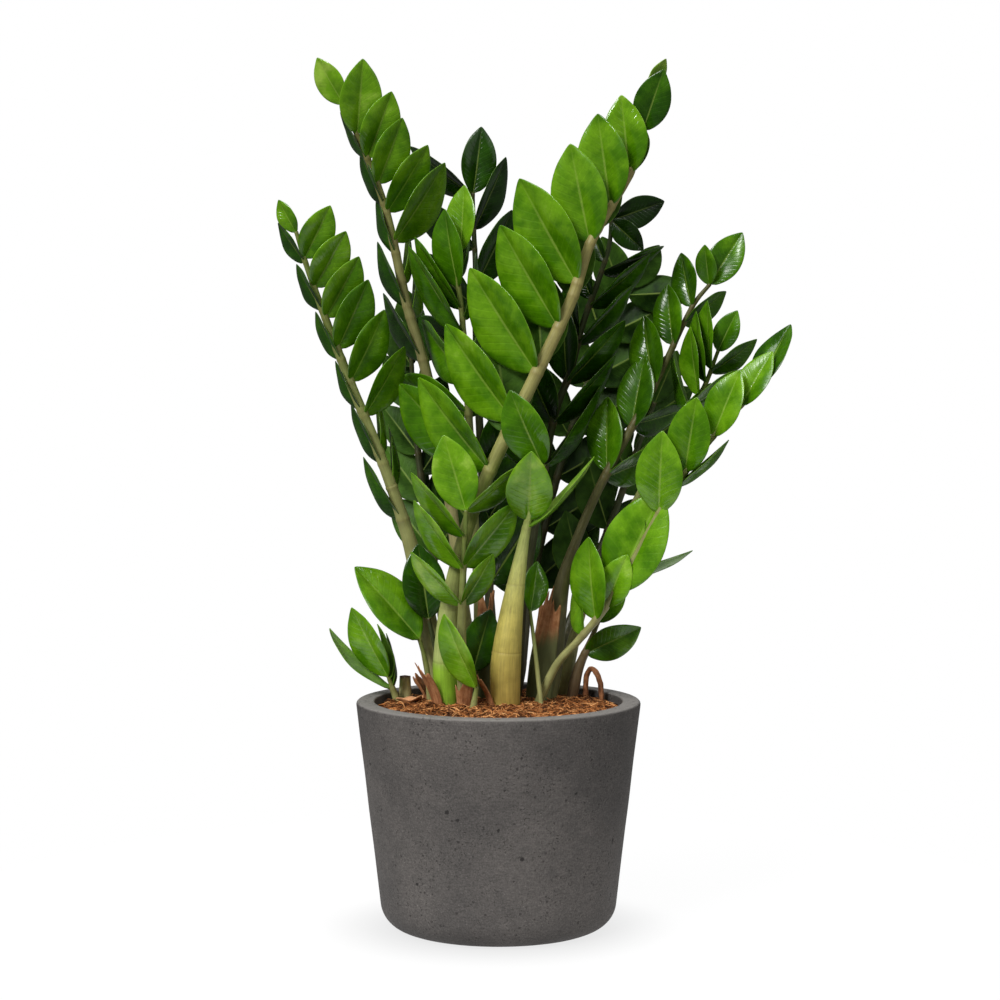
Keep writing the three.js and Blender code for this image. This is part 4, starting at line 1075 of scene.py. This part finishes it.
# A leaflet as a closed ring of points at each row: over the upper face and back under the lower one.
def add_leaflet(piece, leaflet, tone, draw):
    ways = 0.5 - 0.5 * np.cos(math.pi * np.linspace(0, 1, LEAF_ROWS + 1))
    ways = ways[1:-1, None]
    lanes = LEAF_LANES[None, :]
    size = np.abs(lanes)
    half = leaflet["width"] / 2 * blade_outline(ways) * np.minimum(1, 0.35 + ways / FOOT_NARROWING)
    half = half * (1 - TIP_POINTING * smooth(0.8, 1, ways))
    half = np.maximum(half, STALK_HALF_WIDTH * (1 - ways) ** 2)
    phase = 3 * draw()
    between = 4 * size * (1 - size)
    edge_wave = EDGE_WAVE * np.sin(EDGE_WAVES * ways + phase + np.sign(lanes) * draw()) * size ** 3
    surface_wave = SURFACE_WAVE * np.sin(SURFACE_WAVES * ways + 2.4 * lanes + 3 * phase) * between
    ripple = RIPPLE * np.sin(RIPPLES * ways - 5 * size + phase) * between
    fold = size * half * math.tan(leaflet["cup"]) * (1 - BLADE_CUP_EASING * ways)
    puff = PUFF * half * between
    droop = leaflet["droop"] * leaflet["length"] * ways ** 2
    waves = edge_wave + surface_wave + ripple
    height = fold + puff - droop + waves * np.minimum(1, 4 * ways * (1 - ways))
    inside = size < 1
    thick = LEAF_THICKNESS / 2 * inside * (1 - 0.35 * size ** 3) * (1 - 0.35 * ways)
    foot = FOOT_THICKENING * inside * np.exp(-(ways / 0.05) ** 2)
    rib = np.exp(-(size / RIB_WIDTH) ** 2)
    top = height + thick + foot * 0.6 - GROOVE_DEPTH * rib * (1 - 0.7 * ways) * smooth(0.03, 0.1, ways)
    bottom = height - thick - foot - RIB_DEPTH * rib * (1 - 0.85 * ways)
    reach = leaflet["length"] * ways + 0 * lanes
    inner = slice(-2, 0, -1)
    lift = np.concatenate([top, bottom[:, inner]], 1)
    side = np.concatenate([lanes * half, (lanes * half)[:, inner]], 1)
    along = np.concatenate([reach, reach[:, inner]], 1)
    body = (leaflet["root"] + along[..., None] * leaflet["along"] + side[..., None] * leaflet["across"]
            + lift[..., None] * leaflet["upper"])
    rings, ring_size = lift.shape
    tip = (leaflet["root"] + leaflet["along"] * leaflet["length"]
           - leaflet["upper"] * (leaflet["droop"] * leaflet["length"]))
    points = np.concatenate([leaflet["root"][None], body.reshape(-1, 3), tip[None]])
    faces = closed_faces(rings, ring_size, 1, 0, len(points) - 1)
    lane_values = np.concatenate([LEAF_LANES, LEAF_LANES[inner]])
    under_values = np.arange(ring_size) >= len(LEAF_LANES)
    way_field = np.concatenate([[0], np.repeat(ways[:, 0], ring_size), [1]])
    lane_field = np.concatenate([[0], np.tile(lane_values, rings), [0]])
    under_field = np.concatenate([[0.5], np.tile(under_values, rings), [0.5]])
    piece.add(points, faces, LEAF_SLOT, way=way_field, lane=lane_field, tone=tone, under=under_field)


# ---------------------------------------------------------------- fine stems
STEM_FINE_SIDES = 20
STEM_FINE_STEP = 5.0
STEM_FINE_START = -14.0
RINGS_APART = 0.35
ROUND_SHARE = 0.955
END_BULGE = 0.8
NODE_SWELL = 0.08
NODE_HALF = 2.4
NODE_MARK = 0.3
SCARRED_SWELL = 8
SCAR_PLACES = (0.26, 0.58, 0.93)
SCAR_DEPTH = 0.22
SCAR_WIDTH = 0.7
SCAR_TILT = 1.2
SCAR_LIP = 0.15
SCAR_MARK = 0.28
GRAIN_WIDTH = 1.3
GRAIN_LENGTH = 34

# The colours along a stem, each with where it is met: 0 at the mix's surface and 1 at the tip.
PLAIN_STEM = [(0, srgb(150, 150, 96)), (0.3, srgb(140, 140, 86)), (1, srgb(106, 122, 54))]
# Painted shade: the darker colours of a stem that stands in the shade.
STEM_IN_PAINTED_SHADE = [(0, srgb(84, 80, 56)), (0.3, srgb(66, 68, 42)), (1, srgb(52, 62, 30))]
STEM_COLOURS = {
    "stem_front_centre": [
        (0, srgb(158, 134, 64)), (0.12, srgb(168, 148, 72)), (0.35, srgb(184, 172, 88)),
        (0.62, srgb(172, 178, 104)), (1, srgb(116, 150, 56)),
    ],
    "stem_front_tall": [
        (0, srgb(122, 150, 48)), (0.02, srgb(130, 172, 44)), (0.06, srgb(134, 174, 46)),
        (0.074, srgb(164, 176, 104)), (0.16, srgb(158, 166, 98)), (0.3, srgb(146, 150, 84)),
        (0.6, srgb(146, 138, 82)), (1, srgb(150, 142, 84)),
    ],
    "stem_upper_right": [(0, srgb(96, 100, 62)), (0.25, srgb(96, 92, 56)), (1, srgb(84, 86, 42))],
    "stem_upper_left": [(0, srgb(146, 150, 88)), (0.3, srgb(150, 144, 96)), (1, srgb(112, 114, 58))],
    "shoot_brown_right": [(0, srgb(86, 66, 44)), (0.5, srgb(104, 88, 58)), (1, srgb(110, 104, 66))],
    # the cut stub's pale colour is lightened further as painted light, since it stands in shade beside low
    # leaflets
    "cut_stub": [
        (0, srgb(226, 218, 150)), (0.86, srgb(232, 222, 158)), (0.97, srgb(150, 96, 60)),
        (1, srgb(120, 74, 48)),
    ],
}


def colour_along(stops, way):
    places = [place for place, colour in stops]
    colours = np.array([colour for place, colour in stops])
    return np.stack([np.interp(way, places, colours[:, k]) for k in range(4)], -1)


# The rings that old leaf bases left on a swollen foot, as distances along the stem.
def scars_of(plant, draw):
    stem = plant.stem
    if stem["swell"] < SCARRED_SWELL:
        return []
    return [stem["swell_length"] * (share + 0.03 * draw()) for share in SCAR_PLACES]


# Where a stem's rings stand: evenly, and closer together round its nodes and scars.
def ring_distances(line, nodes, scars):
    rings = int((line.length - STEM_FINE_START) / STEM_FINE_STEP) + 1
    wanted = list(np.linspace(STEM_FINE_START, line.length, rings))
    wanted += [node + NODE_HALF * share for node in nodes for share in (-1, -0.5, 0, 0.5, 1)]
    wanted += [scar + step for scar in scars for step in (-2.0, -0.4, 0, 0.6, 2.5)]
    wanted = sorted(distance for distance in wanted if STEM_FINE_START <= distance <= line.length)
    kept = wanted[:1]
    for distance in wanted:
        if distance - kept[-1] > RINGS_APART:
            kept.append(distance)
    return kept


def add_stalk(piece, plant, leaflets, draw):
    line, stem = plant.line, plant.stem
    nodes = sorted({leaflet["at"] for leaflet in leaflets})
    scars = scars_of(plant, draw)
    distances = ring_distances(line, nodes, scars)
    default = STEM_IN_PAINTED_SHADE if stem.get("dark") else PLAIN_STEM
    stops = STEM_COLOURS.get(plant.name, default)
    angles = 2 * math.pi * np.arange(STEM_FINE_SIDES) / STEM_FINE_SIDES
    tilts = [draw() for scar in scars]
    turns = [3.14 * draw() for scar in scars]
    points, grains, scar_marks, tints, ways = [], [], [], [], []
    for distance, point, across, other in frames_along(line, distances):
        radius = np.full(STEM_FINE_SIDES, plant.radius(distance) * ROUND_SHARE)
        mark = np.zeros(STEM_FINE_SIDES)
        for middle in nodes:
            near = math.exp(-((distance - middle) / NODE_HALF) ** 2)
            radius = radius * (1 + NODE_SWELL * near)
            mark = np.maximum(mark, NODE_MARK * near)
        for scar, tilt, turn in zip(scars, tilts, turns):
            level = distance - scar - SCAR_TILT * tilt * np.cos(angles - turn)
            radius = radius - SCAR_DEPTH * np.exp(-(level / SCAR_WIDTH) ** 2)
            radius = radius + SCAR_LIP * np.exp(-((level + 1.6) / 1.4) ** 2)
            mark = np.maximum(mark, SCAR_MARK * np.exp(-(level / 0.9) ** 2))
        outwards = np.cos(angles)[:, None] * across + np.sin(angles)[:, None] * other
        points.append(point + radius[:, None] * outwards)
        width = max(plant.radius(distance), 2.0)
        grains.append(np.stack([
            np.cos(angles) * width / GRAIN_WIDTH, np.sin(angles) * width / GRAIN_WIDTH,
            np.full(STEM_FINE_SIDES, distance / GRAIN_LENGTH + stem["seed"] * 7),
        ], -1))
        scar_marks.append(mark)
        way = min(max(distance / line.length, 0), 1)
        ways.append(np.full(STEM_FINE_SIDES, way))
        tints.append(np.tile(colour_along(stops, way), (STEM_FINE_SIDES, 1)))
    end, end_along = line.at(line.length)
    points += [line.at(STEM_FINE_START)[0][None], (end + end_along * END_BULGE)[None]]
    foot = len(distances) * STEM_FINE_SIDES
    faces = closed_faces(len(distances), STEM_FINE_SIDES, 0, foot, foot + 1)
    fields = {"way": ways, "under": scar_marks, "tint": tints, "grain": grains}
    for name, values in fields.items():
        fields[name] = np.concatenate(values + [values[0][:1], values[-1][:1]])
    piece.add(np.concatenate(points), faces, STALK_SLOT, **fields)


# How bright the leaflets are: by the stem, its left rank, its right rank and its tips. Partly the
# leaflets' own colour and age, partly painted light and shade: lit leaflets get brighter tones and
# shaded ones darker.
LEAF_TONES_WITH_PAINTED_LIGHT = {
    "stem_front_centre": (0.8, 0.8, 0.6),
    "shoot_front_low": (0.7, 0.7, 0.86),
    "stem_front_left": (0.8, 0.72, 0.74),
    "stem_front_tall": (0.68, 0.34, 1.0),
    "stem_right_arching": (0.68, 0.6, 0.3),
    "stem_far_left": (0.22, 0.66, 0.66),
    "stem_centre_left": (0.5, 0.45, 0.74),
    "stem_upper_left": (0.26, 0.74, 0.8),
    "stem_upper_right": (0.5, 0.42, 0.6),
    "stem_dark_behind": (0.14, 0.34, 0.2),
    "stem_right": (0.58, 0.48, 0.5),
    "shoot_low_left": (0.62, 0.6, 0.78),
    "shoot_left": (0.7, 0.7, 0.68),
    "shoot_brown_right": (0.6, 0.6, 0.6),
    "shoot_thin_centre": (0.45, 0.45, 0.5),
}
# Painted shade as well as older colour: the darker tones of leaflets on stems in the shade.
TONES_IN_PAINTED_SHADE = (0.12, 0.2, 0.2)


def tone_of(plant, leaflet, draw):
    left, right, tip = LEAF_TONES_WITH_PAINTED_LIGHT.get(plant.name, TONES_IN_PAINTED_SHADE)
    at_tip = leaflet["at"] > plant.line.length - 2
    tone = tip if at_tip else (left if leaflet["side"] < 0 else right)
    return tone + 0.06 * draw()


def build_stem(plant, leaflets):
    draw = draws_from(plant.stem["seed"] + STEM_SEEDS)
    piece = Piece()
    add_stalk(piece, plant, leaflets, draw)
    for leaflet in leaflets:
        add_leaflet(piece, leaflet, tone_of(plant, leaflet, draw), draw)
    piece.build(f"fine_{plant.name}", [STALK, LEAF], plant.name)


# ---------------------------------------------------------------- dry sheaths and the arched root
SHEATH_ROWS = 26
SHEATH_LANES = 20
SHEATH_FINE_THICKNESS = 0.8
SHEATH_FINE_GAP = 0.2
TALL_SHEATH = 60
TALL_TEARING = 0.34
LOW_TEARING = 0.16
PLEAT = 0.5
CURL = 1.8


def sheath_point(plant, sheath, way, lane, lift):
    distance = mix_numbers(sheath["from"], sheath["to"], way)
    point, along = plant.line.at(distance)
    front = np.array([0, -1.0, 0])
    front = unit(front - along * front.dot(along))
    right = np.cross(along, front)
    narrowing = 1 - SHEATH_NARROWING * way ** SHEATH_NARROWING_CURVE
    angle = math.radians(sheath["turn"] + (lane * sheath["spread"] * narrowing) / 2)
    radius = plant.radius(distance) + SHEATH_GAP + sheath["flare"] * way ** 2 + lift
    wave = math.sin(lane * SHEATH_RAGGED_WAVES + sheath["turn"])
    ragged = SHEATH_RAGGEDNESS * way * wave if distance > 0 else 0
    outwards = front * math.cos(angle) + right * math.sin(angle)
    return point + outwards * radius + along * ragged


def build_sheath(order, sheath, plants):
    plant = next(plant for plant in plants if plant.name == sheath["on"])
    draw = draws_from(SHEATH_SEEDS + order)
    phases = [3 * draw() for k in range(4)]
    piece = Piece()
    tall = sheath["to"] > TALL_SHEATH
    green_foot = 1.0 if tall else 0.0
    tearing = TALL_TEARING if tall else LOW_TEARING
    points, grains, tones, fresh = [], [], [], []
    for thickness in (SHEATH_FINE_THICKNESS + SHEATH_FINE_GAP, SHEATH_FINE_GAP):
        for row in range(SHEATH_ROWS + 1):
            for k in range(SHEATH_LANES + 1):
                way = row / SHEATH_ROWS
                lane = 2 * k / SHEATH_LANES - 1
                pleat = PLEAT * math.sin(5 * lane + 3 * way + phases[1])
                curl = CURL * way ** 2 * (abs(lane) ** 3 + 0.6 * math.sin(4 * lane + phases[2]))
                torn = 1 - 0.07 * way * (0.5 + 0.5 * math.sin(7 * lane + phases[3])) ** 2
                torn -= tearing * way * abs(noise.noise(Vector((lane * 2.2, order * 3.1, 0))))
                lift = thickness + (pleat + curl) * way
                points.append(sheath_point(plant, sheath, way * torn, lane, lift))
                grains.append((lane * 5, order * 5, way * 1.4))
                inside = thickness == SHEATH_FINE_GAP
                tones.append(0.56 + 0.16 * way + 0.05 * draw() - 0.1 * inside)
                fresh.append(green_foot * smooth(0.74, 0.5, way + 0.08 * math.sin(3 * lane + phases[0])))
    faces = sheet_faces(SHEATH_ROWS, SHEATH_LANES)
    piece.add(points, faces, 0, grain=grains, tone=tones, under=fresh)
    piece.build(f"papery_sheath_{order + 1}", [SHEATH], f"dry_sheath_{order + 1}")


ROOT_PATH = [
    [88, 63, 206], [88, 61, 222], [88, 59, 236], [91, 56, 246],
    [96, 51, 247], [101, 47, 238], [103, 45, 224], [103, 44, 206],
]
ROOT_RINGS = 90
ROOT_SIDES = 14


def build_root():
    line = CentreLine(ROOT_PATH)
    piece = Piece()
    points, grains, tones = [], [], []
    distances = line.length * np.arange(ROOT_RINGS) / (ROOT_RINGS - 1)
    for distance, point, across, other in frames_along(line, distances):
        for side in range(ROOT_SIDES):
            angle = 2 * math.pi * side / ROOT_SIDES
            x, y = math.cos(angle), math.sin(angle)
            knob = noise.noise(Vector((x, y, distance * 0.16)))
            knob += 0.6 * noise.noise(Vector((x * 2, y * 2, distance * 0.6)))
            radius = ROOT_RADIUS * (0.98 + 0.2 * knob)
            points.append(point + across * (x * radius) + other * (y * radius))
            grains.append((x * 3, y * 3, distance / 9))
            tones.append(0.5 + 0.2 * knob)
    foot = len(points)
    points += [line.at(0)[0], line.at(line.length)[0]]
    grains += [(0, 0, 0)] * 2
    tones += [0.5] * 2
    faces = closed_faces(ROOT_RINGS, ROOT_SIDES, 0, foot, foot + 1)
    piece.add(points, faces, 0, grain=grains, tone=tones)
    piece.build("knobbly_root", [SHEATH], "arched_root")


# ---------------------------------------------------------------- the pot
POT_FINE_SEGMENTS = 400
WALL_LEAN = math.atan2(RIM_RADIUS - FOOT_RADIUS, POT_HEIGHT)
POT_UNEVENNESS = 0.35
BLOWHOLE_DEPTH = 0.9
BLOWHOLE_BAND = 6
INNER_RIM_ROUNDING = 1.5

# Blowholes in the casting: where round the pot (0 to the front, 90 to the right), how high, how wide.
BLOWHOLES = [
    (-22, 134, 2.8), (-17.4, 127, 2.2), (0, 118, 2.2), (10.4, 90, 2.6), (34, 150, 2.0), (-40, 60, 2.2),
    (62, 96, 2.4), (118, 130, 2.8), (171, 88, 2.4), (-96, 122, 2.5), (-141, 70, 2.2), (-68, 168, 2.0),
]


def outer_radius(z):
    return FOOT_RADIUS + (RIM_RADIUS - FOOT_RADIUS) * (z / POT_HEIGHT)


def inner_radius(z):
    return outer_radius(z) - WALL / math.cos(WALL_LEAN)


# A place round the pot's axis: an angle of 0 is in front, a quarter turn is to the right.
def round_pot(radius, angle):
    return radius * math.sin(angle), -radius * math.cos(angle)


def arc(centre_r, centre_z, radius, start, end, steps):
    angles = np.linspace(start, end, steps + 1)
    return [(centre_r + radius * math.cos(a), centre_z + radius * math.sin(a)) for a in angles]


def pot_profile():
    foot_r = outer_radius(FOOT_ROUNDING) - FOOT_ROUNDING / math.cos(WALL_LEAN)
    rim_z = POT_HEIGHT - RIM_ROUNDING
    rim_r = outer_radius(rim_z) - RIM_ROUNDING / math.cos(WALL_LEAN)
    profile = [(foot_r * share, 0) for share in (0.25, 0.5, 0.75)]
    profile += arc(foot_r, FOOT_ROUNDING, FOOT_ROUNDING, -math.pi / 2, -WALL_LEAN, 14)
    low, high = profile[-1][1], rim_z - RIM_ROUNDING * math.sin(WALL_LEAN)
    profile += [(outer_radius(z), z) for z in np.linspace(low, high, 96)[1:-1]]
    profile += arc(rim_r, rim_z, RIM_ROUNDING, -WALL_LEAN, math.pi / 2, 7)
    inner = inner_radius(POT_HEIGHT)
    lip_z = POT_HEIGHT - INNER_RIM_ROUNDING
    profile += arc(inner + INNER_RIM_ROUNDING, lip_z, INNER_RIM_ROUNDING, math.pi / 2, math.pi, 5)
    profile += [(inner_radius(z), z) for z in np.linspace(lip_z - INNER_RIM_ROUNDING, FLOOR, 16)]
    profile += [(inner_radius(FLOOR) * share, FLOOR) for share in (0.66, 0.33)]
    return profile


# How far the pot's outside stands out at a place, and how much of a blowhole is there. The pot's
# material darkens the blowholes as painted shade.
def pot_surface(radius, z, angle):
    place = Vector((math.sin(angle) * radius, -math.cos(angle) * radius, z))
    lift, mark = POT_UNEVENNESS * noise.noise(place * 0.021), 0.0
    for turn, height, width in BLOWHOLES:
        if abs(z - height) < BLOWHOLE_BAND:
            apart = (angle - math.radians(turn) + math.pi) % (2 * math.pi) - math.pi
            gap = math.hypot(apart * radius, z - height) / width
            if gap < 2:
                lift -= BLOWHOLE_DEPTH * math.exp(-gap * gap * 1.4)
                mark = max(mark, math.exp(-gap * gap * 1.2))
    return lift, mark


def build_pot():
    piece = Piece()
    profile = pot_profile()
    points, marks = [], []
    for radius, z in profile:
        outside = radius > inner_radius(z) + 2 and 1 < z < POT_HEIGHT - 4
        for k in range(POT_FINE_SEGMENTS):
            angle = 2 * math.pi * k / POT_FINE_SEGMENTS
            lift, mark = pot_surface(radius, z, angle) if outside else (0.0, 0.0)
            points.append((*round_pot(radius + lift, angle), z))
            marks.append(mark)
    foot = len(points)
    points += [(0, 0, 0), (0, 0, FLOOR)]
    marks += [0, 0]
    faces = closed_faces(len(profile), POT_FINE_SEGMENTS, 0, foot, foot + 1)
    piece.add(points, faces, 0, under=marks)
    piece.build("cast_pot", [POT_STONE], "pot")


# ---------------------------------------------------------------- the growing mix
MIX_RINGS = 56
MIX_SPOKES = 200
MIX_UNDERSIDE = ((12, 1.6), (30, 4.0))
MIX_SUNK = 0.8
MIX_LUMPS = 2.2
MIX_BITS = 1.0

# The order of the mix's two materials.
COIR_SLOT = 0
PAPERY_SLOT = 1

# Shreds of fibre, chips of bark and one papery flake: ranges are from the least to the most.
STRANDS = 2200
CHIPS = 260
STRAND_MARGIN = 5
STRAND_STEPS = 7
STRAND_SIDES = 4
STRAND_LENGTHS = (8, 30)
STRAND_BENDS = (-1.3, 1.3)
STRAND_RISES = (0.3, 3.4)
STRAND_LEANS = (-1.0, 2.5)
STRAND_RADII = (0.28, 0.75)
STRAND_FLATTENING = (0.5, 1.0)
CHIP_MARGIN = 8
CHIP_SIDES = 6
CHIP_SIZES = (2.0, 5.5)
CHIP_LEVELS = ((-0.4, 0.75), (0.0, 1.0), (0.4, 0.7))
CHIP_WIDTH_RATIO = 0.62
CHIP_HEIGHT_RATIO = 0.55
FLAKE_PLACE = (-88, 20)
FLAKE_LENGTH = 26
FLAKE_WIDTH = 15
FLAKE_THICKNESS = 0.7
FLAKE_LIFT = 1.6
FLAKE_ROWS = 8
FLAKE_LANES = 14


def mix_height(x, y):
    way = min(1, math.hypot(x, y) / inner_radius(MIX_TOP))
    waves = math.sin(x * 0.13 + 1) * math.cos(y * 0.17) + 0.5 * math.sin(x * 0.29 + y * 0.23)
    return MIX_TOP + MIX_MOUND * (1 - way * way) + MIX_RELIEF * waves * (1 - way ** 4)


def rough_height(x, y):
    lumps = noise.noise(Vector((x * 0.09, y * 0.09, 0.3)))
    bits = noise.noise(Vector((x * 0.35, y * 0.35, 1.7)))
    return mix_height(x, y) - MIX_SUNK + MIX_LUMPS * lumps + MIX_BITS * bits


# The mix from the middle of its top out to the wall and down to the middle of its underside.
def add_mix_body(piece):
    edge = inner_radius(MIX_TOP) - 0.5
    angles = [2 * math.pi * spoke / MIX_SPOKES for spoke in range(MIX_SPOKES)]
    points, tones = [(0, 0, rough_height(0, 0))], [0.3]
    for ring in range(1, MIX_RINGS + 1):
        for angle in angles:
            x, y = round_pot(edge * ring / MIX_RINGS, angle)
            points.append((x, y, rough_height(x, y)))
            tones.append(0.34 + 0.2 * noise.noise(Vector((x * 0.2, y * 0.2, 5))))
    for depth, shrink in MIX_UNDERSIDE:
        points += [(*round_pot(edge - shrink, angle), MIX_TOP - depth) for angle in angles]
    points.append((0, 0, MIX_TOP - MIX_UNDERSIDE[-1][0]))
    tones += [0.2] * (len(points) - len(tones))
    rings = MIX_RINGS + len(MIX_UNDERSIDE)
    faces = closed_faces(rings, MIX_SPOKES, 1, 0, len(points) - 1)
    piece.add(points, [face[::-1] for face in faces], COIR_SLOT, tone=tones)


# A random place on the mix, at least the margin from its edge.
def random_place(draws, margin):
    radius = (inner_radius(MIX_TOP) - margin) * math.sqrt(draws.random())
    return round_pot(radius, 2 * math.pi * draws.random())


# A curved shred of coconut fibre lying on the mix, its ends a little in it.
def add_strand(piece, draws):
    reach = inner_radius(MIX_TOP) - STRAND_MARGIN + 2
    middle = random_place(draws, STRAND_MARGIN)
    heading = 2 * math.pi * draws.random()
    length = draws.uniform(*STRAND_LENGTHS)
    bend = draws.uniform(*STRAND_BENDS)
    rise = draws.uniform(*STRAND_RISES)
    lean = draws.uniform(*STRAND_LEANS)
    thick = draws.uniform(*STRAND_RADII)
    flat = draws.uniform(*STRAND_FLATTENING)
    path = []
    for way in np.arange(STRAND_STEPS + 1) / STRAND_STEPS:
        turn = heading + bend * (way - 0.5)
        offset = (way - 0.5) * length
        x = middle[0] + math.cos(turn) * offset
        y = middle[1] + math.sin(turn) * offset
        far = math.hypot(x, y)
        if far > reach:
            x, y = x * reach / far, y * reach / far
        z = rough_height(x, y) + rise * math.sin(math.pi * way) + lean * way ** 2 - 0.1
        path.append(np.array([x, y, z]))
    points = []
    for i, point in enumerate(path):
        along = unit(path[min(i + 1, STRAND_STEPS)] - path[max(i - 1, 0)] + 1e-6)
        across = unit(np.cross(along, [0, 0, 1.0]))
        up = np.cross(across, along)
        taper = thick * (0.35 + 0.65 * math.sin(math.pi * (0.08 + 0.84 * i / STRAND_STEPS)))
        for side in range(STRAND_SIDES):
            a = 2 * math.pi * side / STRAND_SIDES
            points.append(point + across * math.cos(a) * taper + up * math.sin(a) * taper * flat)
    faces = block_faces(STRAND_STEPS + 1, STRAND_SIDES)
    piece.add(points, faces, COIR_SLOT, tone=draws.uniform(0.3, 0.95))


# A chip of bark: a squashed, uneven six-sided block.
def add_chip(piece, draws):
    x, y = random_place(draws, CHIP_MARGIN)
    size = draws.uniform(*CHIP_SIZES)
    turn = 2 * math.pi * draws.random()
    tilt = draws.uniform(-0.5, 0.5)
    points = []
    for level, shrink in CHIP_LEVELS:
        for side in range(CHIP_SIDES):
            a = turn + 2 * math.pi * side / CHIP_SIDES
            reach = size * shrink * draws.uniform(0.7, 1.1)
            px, py = reach * math.cos(a), CHIP_WIDTH_RATIO * reach * math.sin(a)
            z = rough_height(x, y) + 0.6 + size * CHIP_HEIGHT_RATIO * level + tilt * px
            points.append((x + px, y + py, z))
    piece.add(points, block_faces(3, CHIP_SIDES), COIR_SLOT, tone=draws.uniform(0.1, 0.8))


# A curled papery flake that lies on the mix in front of the cut stub.
def add_flake(piece):
    points = []
    for lift in (FLAKE_THICKNESS, 0.0):
        for row in range(FLAKE_ROWS + 1):
            for lane in range(FLAKE_LANES + 1):
                along = lane / FLAKE_LANES - 0.5
                across = row / FLAKE_ROWS - 0.5
                x = FLAKE_PLACE[0] + FLAKE_LENGTH * along + 2 * across
                y = FLAKE_PLACE[1] + FLAKE_WIDTH * across * (1 - 2.4 * along ** 2) - 3 * along
                curl = 11 * across ** 2 + 6 * along ** 2 + 1.2 * math.sin(9 * along + 4 * across)
                points.append((x, y, mix_height(x, y) + FLAKE_LIFT + curl + lift))
    faces = sheet_faces(FLAKE_ROWS, FLAKE_LANES)
    grains = [(9 * y / 20, 3, x / 20) for x, y, z in points]
    piece.add(points, faces, PAPERY_SLOT, tone=0.9, grain=grains)


def build_mix():
    draws = np.random.default_rng(MIX_SEED)
    piece = Piece()
    add_mix_body(piece)
    for k in range(STRANDS):
        add_strand(piece, draws)
    for k in range(CHIPS):
        add_chip(piece, draws)
    add_flake(piece)
    piece.build("coconut_fibre_mix", [COIR, SHEATH], "growing_mix")


# ---------------------------------------------------------------- the stage
# The floor gives off an even white light, dimmed near the pot's foot as a painted contact shadow.
FLOOR_REACH = 0.6
PAINTED_SHADOW_FROM = 0.19
PAINTED_SHADOW_TO = 0.085
FLOOR_SEGMENTS = 96
FLOOR_LIGHT_IN_PAINTED_SHADOW = 0.78
FLOOR_GLOW_FAR = 0.96
FLOOR_GREY = 0.035
WORLD_LIGHT = 0.12
WORLD_SEEN = 1.0

# Each light's name, strength, spread, and where it comes from: turned from the front towards the right,
# and raised, in degrees.
LIGHTS = [
    ("key_light", 2.2, 40, -44, 44),
    ("sparkle_light", 1.3, 14, -32, 30),
    ("side_sparkle_light", 0.45, 12, 40, 40),
    ("fill_light", 0.3, 50, 58, 22),
    ("top_light", 0.8, 50, 10, 76),
    ("back_light", 0.6, 50, 165, 46),
]


def build_stage():
    mesh = bpy.data.meshes.new("floor")
    turns = 2 * math.pi * np.arange(FLOOR_SEGMENTS) / FLOOR_SEGMENTS
    rim = [(FLOOR_REACH * math.cos(turn), FLOOR_REACH * math.sin(turn), 0) for turn in turns]
    mesh.from_pydata(rim, [], [tuple(range(FLOOR_SEGMENTS))])
    floor = add_object("floor", mesh)
    g = Graph("pale_floor", 0.9, 0.1)
    g.shader.inputs["Emission Color"].default_value = (1, 1, 1, 1)
    far = g.node("ShaderNodeVectorMath", {0: g.place()}, operation="LENGTH").outputs["Value"]
    # painted contact shadow: the floor's emission is weaker close to the pot's foot
    floor_light_with_painted_shadow = g.step(far, PAINTED_SHADOW_TO, PAINTED_SHADOW_FROM, FLOOR_LIGHT_IN_PAINTED_SHADOW, FLOOR_GLOW_FAR)
    g.put(g.shader.inputs["Emission Strength"], floor_light_with_painted_shadow)
    mesh.materials.append(g.finish((FLOOR_GREY, FLOOR_GREY, FLOOR_GREY, 1)))


def add_sun(name, strength, spread, azimuth, elevation):
    light = bpy.data.lights.new(name, "SUN")
    light.energy = strength
    light.angle = math.radians(spread)
    raised = math.radians(elevation)
    towards = Vector((*round_pot(math.cos(raised), math.radians(azimuth)), math.sin(raised)))
    add_object(name, light).rotation_euler = towards.to_track_quat("Z", "Y").to_euler()


# The world is white where the camera sees it and dim where it lights the plant.
def light_scene():
    for light in LIGHTS:
        add_sun(*light)
    world = bpy.data.worlds.new("white_studio")
    bpy.context.scene.world = world
    world.use_nodes = True
    tree = world.node_tree
    tree.nodes.clear()
    seen = tree.nodes.new("ShaderNodeLightPath")
    strength = tree.nodes.new("ShaderNodeMix")
    strength.inputs[2].default_value = WORLD_LIGHT
    strength.inputs[3].default_value = WORLD_SEEN
    background = tree.nodes.new("ShaderNodeBackground")
    background.inputs["Color"].default_value = (1, 1, 1, 1)
    output = tree.nodes.new("ShaderNodeOutputWorld")
    tree.links.new(seen.outputs["Is Camera Ray"], strength.inputs[0])
    tree.links.new(strength.outputs[0], background.inputs["Strength"])
    tree.links.new(background.outputs[0], output.inputs["Surface"])
    bpy.context.scene.view_settings.view_transform = "Standard"


def place_camera():
    camera = bpy.data.cameras.new("camera")
    camera.lens = CAMERA_LENS
    camera.sensor_width = SENSOR
    camera.sensor_fit = "HORIZONTAL"
    seen_from = add_object("camera", camera)
    seen_from.location = CAMERA_PLACE
    seen_from.rotation_euler = (math.radians(90 - CAMERA_PITCH), 0, 0)
    bpy.context.scene.camera = seen_from


# ---------------------------------------------------------------- making it all
def main():
    plants = [Grown(stem) for stem in STEMS]
    for plant, leaflets in zip(plants, place_leaflets(plants)):
        build_stem(plant, leaflets)
    for order, sheath in enumerate(SHEATHS):
        build_sheath(order, sheath, plants)
    build_root()
    build_pot()
    build_mix()
    build_stage()
    light_scene()
    place_camera()


main()
